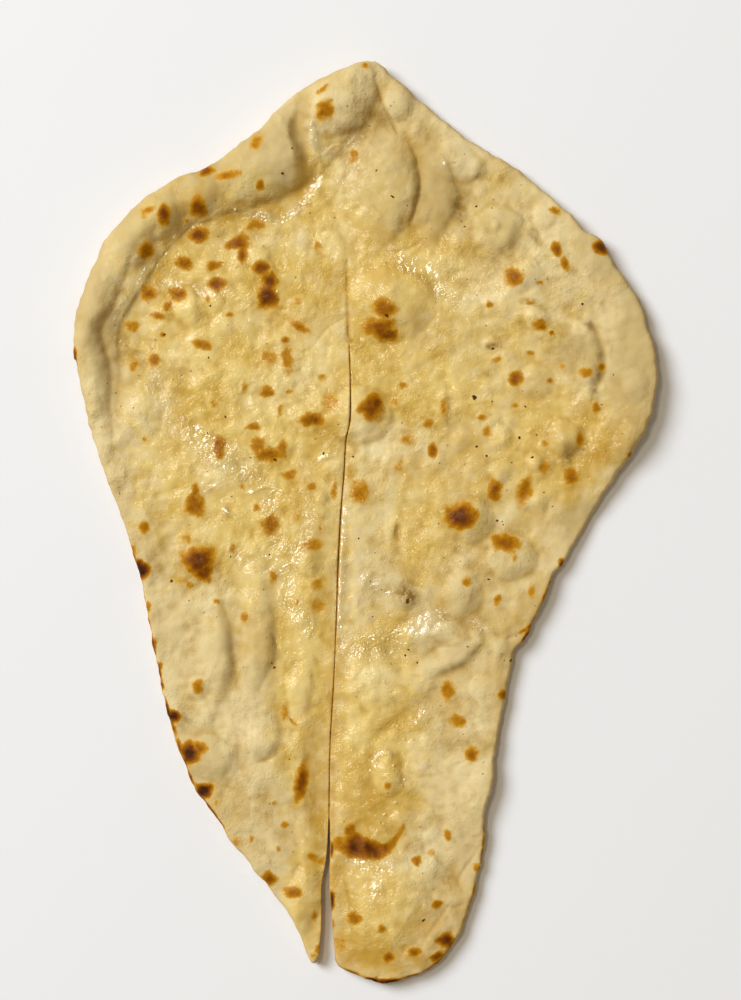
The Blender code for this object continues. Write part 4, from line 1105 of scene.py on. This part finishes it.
def crust_material():
    """Tandoor-baked wheat dough: matt and floury where dry, deep gold and glossy under melted butter."""
    material, tree, shader = new_material("tandoor baked crust")
    node = functools.partial(add, tree)
    place = node("ShaderNodeTexCoord", output="Object")
    mask = {name: node("ShaderNodeAttribute", output="Fac", attribute_name=name) for name in FIELDS}
    patterns = []
    for span, detail, rough, bent in PATTERNS:
        values = {"Scale": per_metre(span), "Detail": detail, "Roughness": rough, "Distortion": bent}
        patterns.append(node(NOISE, {"Vector": place, **values}))
    slow, broad, mottle, ragged, grain, creased, roughened, curling, swelling = patterns

    # The dough's tone: darker in its hollows and lighter on its tops, as painted shade and light and, under
    # butter, as butter pooled in the hollows; then its unevenness, which is weaker where it is dull.
    swings = ((mottle, 1.1), (ragged, 0.4), (slow, 1.0), (broad, 1.2))
    uneven = -sum(swing for _, swing in swings) / 2
    for source, swing in swings:
        uneven = node(MATH, (source, swing, uneven), **TIMES_PLUS)
    calm = node(RANGE, (mask["dull_and_shaded"], 0.0, 1.0, 1.0, 0.6), **SMOOTH)
    uneven = node(MATH, (uneven, calm), **TIMES)
    shade = node(MATH, (node(MATH, (mask["hollow_shade_and_butter"], 0.45, uneven), **TIMES_PLUS), 0.5, 0.5), **TIMES_PLUS)
    dry, buttery = node(RAMP, (shade,)), node(RAMP, (shade,))
    set_ramp(dry.node, DRY)
    set_ramp(buttery.node, BUTTERY)
    patchy = node(MATH, (node(MATH, (mottle, 0.9, -0.45), **TIMES_PLUS), mask["buttered"]), **ADD)
    wide_butter = node(RANGE, (patchy, 0.1, 0.8), **SMOOTH)

    # Tints over it, each stronger or weaker with a pattern.
    layers = [(wide_butter, buttery)]
    # The tints for small creases and for the rim are painted shade, and those for golden, smudged and dull
    # places are in part painted shade on slopes and feet that face away from the light.
    tints = (
        ("pale", mottle, 1.0, 0.6, "EFDDAA"), ("crease_shade", mottle, 0.38, 0.38, "A8823A"),
        ("golden", mottle, 0.9, 1.5, "C0953A"), ("ash_and_shade", ragged, 0.35, 1.15, "85621F"),
        ("dull_and_shaded", mottle, 0.55, 0.55, "B3975A"), ("rim", mottle, 0.22, 0.22, "AA8A4E"),
    )
    for name, source, weak, strong, tint in tints:
        strength = node(RANGE, (source, 0.3, 0.6, weak, strong), **SMOOTH)
        layers.append((node(MATH, (mask[name], strength), **TIMES), tint))
    layers.append((node(RANGE, (grain, 0.52, 0.75, 0.0, 0.20), **SMOOTH), "B68E40"))
    # Dark dots at the pores: painted shade in pores that have no depth of their own.
    pore = node(CELLS, {"Vector": place, "Scale": per_metre(PORE)})
    near_pore = node(RANGE, (pore, 0.05, 0.11, 0.85, 0.0), **SMOOTH)
    has_pores = node(RANGE, (slow, 0.40, 0.60), **SMOOTH)
    layers.append((node(MATH, (near_pore, has_pores), **TIMES), "8A6428"))

    # Browning on the top, and scorched blotches on the underside.
    window = node(RANGE, (mask["browned"], 0.0, 0.25), **SMOOTH)
    edge = node(MATH, (ragged, 0.6, -0.30), **TIMES_PLUS)
    level = node(MATH, (edge, window, mask["browned"]), **TIMES_PLUS)
    blotch = node(CELLS, {"Vector": place, "Scale": per_metre(BLOTCH)}, feature="SMOOTH_F1")
    scorch = node(MATH, (blotch, -1.5, node(MATH, (ragged, 0.9, 0.10), **TIMES_PLUS)), **TIMES_PLUS)
    toasts = []
    for amount in (level, scorch):
        toasts.append(node(RAMP, (node(MATH, (amount, 1 / DARKEST), **TIMES),)))
        set_ramp(toasts[-1].node, BROWNING, DARKEST)
    # The crumb's holes are darker than its walls: painted shade in holes that have no depth of their own.
    hole = node(CELLS, {"Vector": place, "Scale": per_metre(HOLE)})
    is_wall = node(RANGE, (hole, 0.1, 0.5), **SMOOTH)
    crumb = node(MIX, {MIX_FACTOR: is_wall, MIX_A: "96641C", MIX_B: "C99C48"}, MIX_RESULT, **COLOURS)
    is_thick = node(RANGE, (slow, 0.3, 0.7), **SMOOTH)
    floury = node(MIX, {MIX_FACTOR: is_thick, MIX_A: "D3B578", MIX_B: "C39C58"}, MIX_RESULT, **COLOURS)
    is_scorched = node(RANGE, (scorch, 0.05, 0.3), **SMOOTH)
    under = node(MIX, {MIX_FACTOR: is_scorched, MIX_A: floury, MIX_B: toasts[1]}, MIX_RESULT, **COLOURS)
    layers += [
        (node(RANGE, (level, 0.02, 0.36), **SMOOTH), toasts[0]), (mask["crumb"], crumb),
        (mask["underside"], under),
    ]
    colour = dry
    for factor, over in layers:
        colour = node(MIX, {MIX_FACTOR: factor, MIX_A: colour, MIX_B: over}, MIX_RESULT, **COLOURS)

    # Gloss where the butter stands, less on browned and dull places.
    streaky = node(MATH, (node(MATH, (ragged, 1.2, -0.6), **TIMES_PLUS), mask["shining"]), **ADD)
    wet = node(RANGE, (streaky, 0.10, 0.70), **SMOOTH)
    gloss = node(MATH, (node(MATH, (wide_butter, 0.2), **TIMES), wet), operation="MAXIMUM")
    for source, start, end, least in ((level, 0.1, 0.5, 0.2), (mask["dull_and_shaded"], 0.0, 1.0, 0.35)):
        share = node(RANGE, (source, start, end, 1.0, least), **SMOOTH)
        gloss = node(MATH, (gloss, share), **TIMES)
    roughness = node(RANGE, (gloss, 0.0, 1.0, 0.64, 0.38), **SMOOTH)

    # The skin's grain and creases, and the liquid surface of the butter over them, in millimetres.
    skin = node(MATH, (creased, 0.44, node(MATH, (grain, 0.10), **TIMES)), **TIMES_PLUS)
    for share in (node(RANGE, (roughened, 0.35, 0.65, 0.35, 1.25), **SMOOTH), calm):
        skin = node(MATH, (skin, share), **TIMES)
    curls = node(MATH, (node(MATH, (curling, CURLS), **TIMES),), operation="SINE")
    liquid = skin
    for film, where_wet, anywhere in ((swelling, 0.4, 0.5), (curls, 0.06, 0.01)):
        height = node(MATH, (wet, where_wet, anywhere), **TIMES_PLUS)
        liquid = node(MATH, (film, height, liquid), **TIMES_PLUS)
    bump, liquid_bump = (
        node(BUMP, {"Strength": 1.0, "Distance": MM, "Height": height}) for height in (skin, liquid)
    )

    tree.links.new(gloss, shader.inputs["Coat Weight"])
    tree.links.new(liquid_bump, shader.inputs["Coat Normal"])
    shader.inputs["Coat Roughness"].default_value = 0.11
    shader.inputs["Coat IOR"].default_value = 1.80
    tree.links.new(colour, shader.inputs["Base Color"])
    tree.links.new(roughness, shader.inputs["Roughness"])
    tree.links.new(bump, shader.inputs["Normal"])
    shader.inputs["IOR"].default_value = 1.45
    shader.inputs["Specular IOR Level"].default_value = 0.1
    return material


def char_material():
    """Flour burnt to carbon on the oven's wall: black brown, dull."""
    material, tree, shader = new_material("charred flour")
    place = add(tree, "ShaderNodeTexCoord", output="Object")
    soot = add(tree, NOISE, {"Vector": place, "Scale": per_metre(0.5), "Detail": 3})
    ramp = add(tree, RAMP, (soot,))
    set_ramp(ramp.node, [(0.35, "3A230C"), (0.70, "6E4418")])
    tree.links.new(ramp, shader.inputs["Base Color"])
    tree.links.new(add(tree, BUMP, {"Distance": 0.1 * MM, "Height": soot}), shader.inputs["Normal"])
    shader.inputs["Roughness"].default_value = 0.9
    shader.inputs["Specular IOR Level"].default_value = 0.1
    return material


def butter_material():
    """Melted butter standing in beads: clear yellow fat with a wet gloss."""
    material, tree, shader = new_material("melted butter")
    place = add(tree, "ShaderNodeTexCoord", output="Object")
    cloud = add(tree, NOISE, {"Vector": place, "Scale": per_metre(1.2), "Detail": 2})
    ramp = add(tree, RAMP, (cloud,))
    set_ramp(ramp.node, [(0.3, "D8B25A"), (0.7, "E4C57C")])
    tree.links.new(ramp, shader.inputs["Base Color"])
    shader.inputs["Roughness"].default_value = 0.06
    shader.inputs["IOR"].default_value = 1.46
    return material


def pebbles(name, rows, flatness, unevenness, sink):
    """Small rounded lumps set on the crust, joined in one mesh."""
    draw = random.Random(len(rows))
    places = np.array([row[:2] for row in rows])
    heights = top_height(places)
    centre = bread_centre(outline()[0])
    shape = bmesh.new()
    for (x, y, size), height in zip(rows, heights):
        radius = LUMP_SHARE * size
        made = bmesh.ops.create_icosphere(shape, subdivisions=3, radius=radius * MM)["verts"]
        stretch = 1 + 0.5 * draw.random()
        turn = draw.uniform(0, math.pi)
        c, s = math.cos(turn), math.sin(turn)
        middle = Vector((x - centre[0], y - centre[1], height - sink * radius)) * MM
        for vert in made:
            from_middle = vert.co / (radius * MM) * 1.4 + Vector((x, y, 0))
            grown = vert.co * (1 + unevenness * noise.noise(from_middle))
            wide = Vector((grown.x * stretch, grown.y / stretch, grown.z * flatness))
            vert.co = middle + Vector((wide.x * c - wide.y * s, wide.x * s + wide.y * c, wide.z))
    mesh = bpy.data.meshes.new(name)
    shape.to_mesh(mesh)
    shape.free()
    mesh.shade_smooth()
    return mesh


def place_piece(name, mesh, material):
    piece = bpy.data.objects.new(name, mesh)
    mesh.materials.append(material)
    bpy.context.scene.collection.objects.link(piece)
    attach(piece, "root")
    return piece


def pale_floor():
    """A matt pale surface that the bread lies on, so wide that its far edge is out of sight."""
    width, gap = 16, 0.0002
    bpy.ops.mesh.primitive_plane_add(size=width, location=(0, 0, -gap))
    floor = bpy.context.object
    floor.name = "floor"
    material, _, shader = new_material("pale matt board")
    shader.inputs["Base Color"].default_value = linear("ECEBEA")
    shader.inputs["Roughness"].default_value = 0.75
    floor.data.materials.append(material)


def add_lamp(name, place, size, energy, colour):
    """A round lamp that points at the bread."""
    lamp = bpy.data.lights.new(name, "AREA")
    lamp.shape = "DISK"
    lamp.size = size
    lamp.energy = energy
    lamp.color = colour
    holder = bpy.data.objects.new(name, lamp)
    holder.location = place
    holder.rotation_euler = (-Vector(place)).to_track_quat("-Z", "Y").to_euler()
    bpy.context.scene.collection.objects.link(holder)


def soft_light():
    """A large lamp at the upper left, a small one overhead for the shine, and a warm surround."""
    world = bpy.data.worlds.new("studio")
    world.use_nodes = True
    surround = world.node_tree.nodes["Background"]
    surround.inputs["Color"].default_value = linear("FFEFD4")
    surround.inputs["Strength"].default_value = 0.26
    bpy.context.scene.world = world
    add_lamp("key", (-2.31, 1.47, 2.80), 2.0, 158.5, (0.84, 0.90, 1.0))
    add_lamp("top", (-0.72, 0.57, 2.86), 0.45, 15.0, (1.0, 0.92, 0.76))


def overhead_camera():
    """Straight down, framed as 310 mm by 230 mm, a little above the bread's middle."""
    distance, frame_length, sensor = 0.90, 0.310, 36
    above = Vector((0.0016, 0.0070, 0.005))
    camera = bpy.data.cameras.new("overhead")
    camera.sensor_width = sensor
    camera.lens = sensor * distance / frame_length
    holder = bpy.data.objects.new("overhead", camera)
    holder.location = above + Vector((0, 0, distance))
    bpy.context.scene.collection.objects.link(holder)
    bpy.context.scene.camera = holder
    bpy.context.scene.view_settings.view_transform = "Standard"


def main():
    overhead_camera()
    naan = place_piece("baked_naan", bread_mesh(), crust_material())
    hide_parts("naan")
    place_piece("char_flecks", pebbles("char_flecks", FLECKS, 0.30, 0.6, 0.08), char_material())
    place_piece("butter_beads", pebbles("butter_beads", BEADS, 0.45, 0.1, 0.10), butter_material())
    pale_floor()
    soft_light()


main()
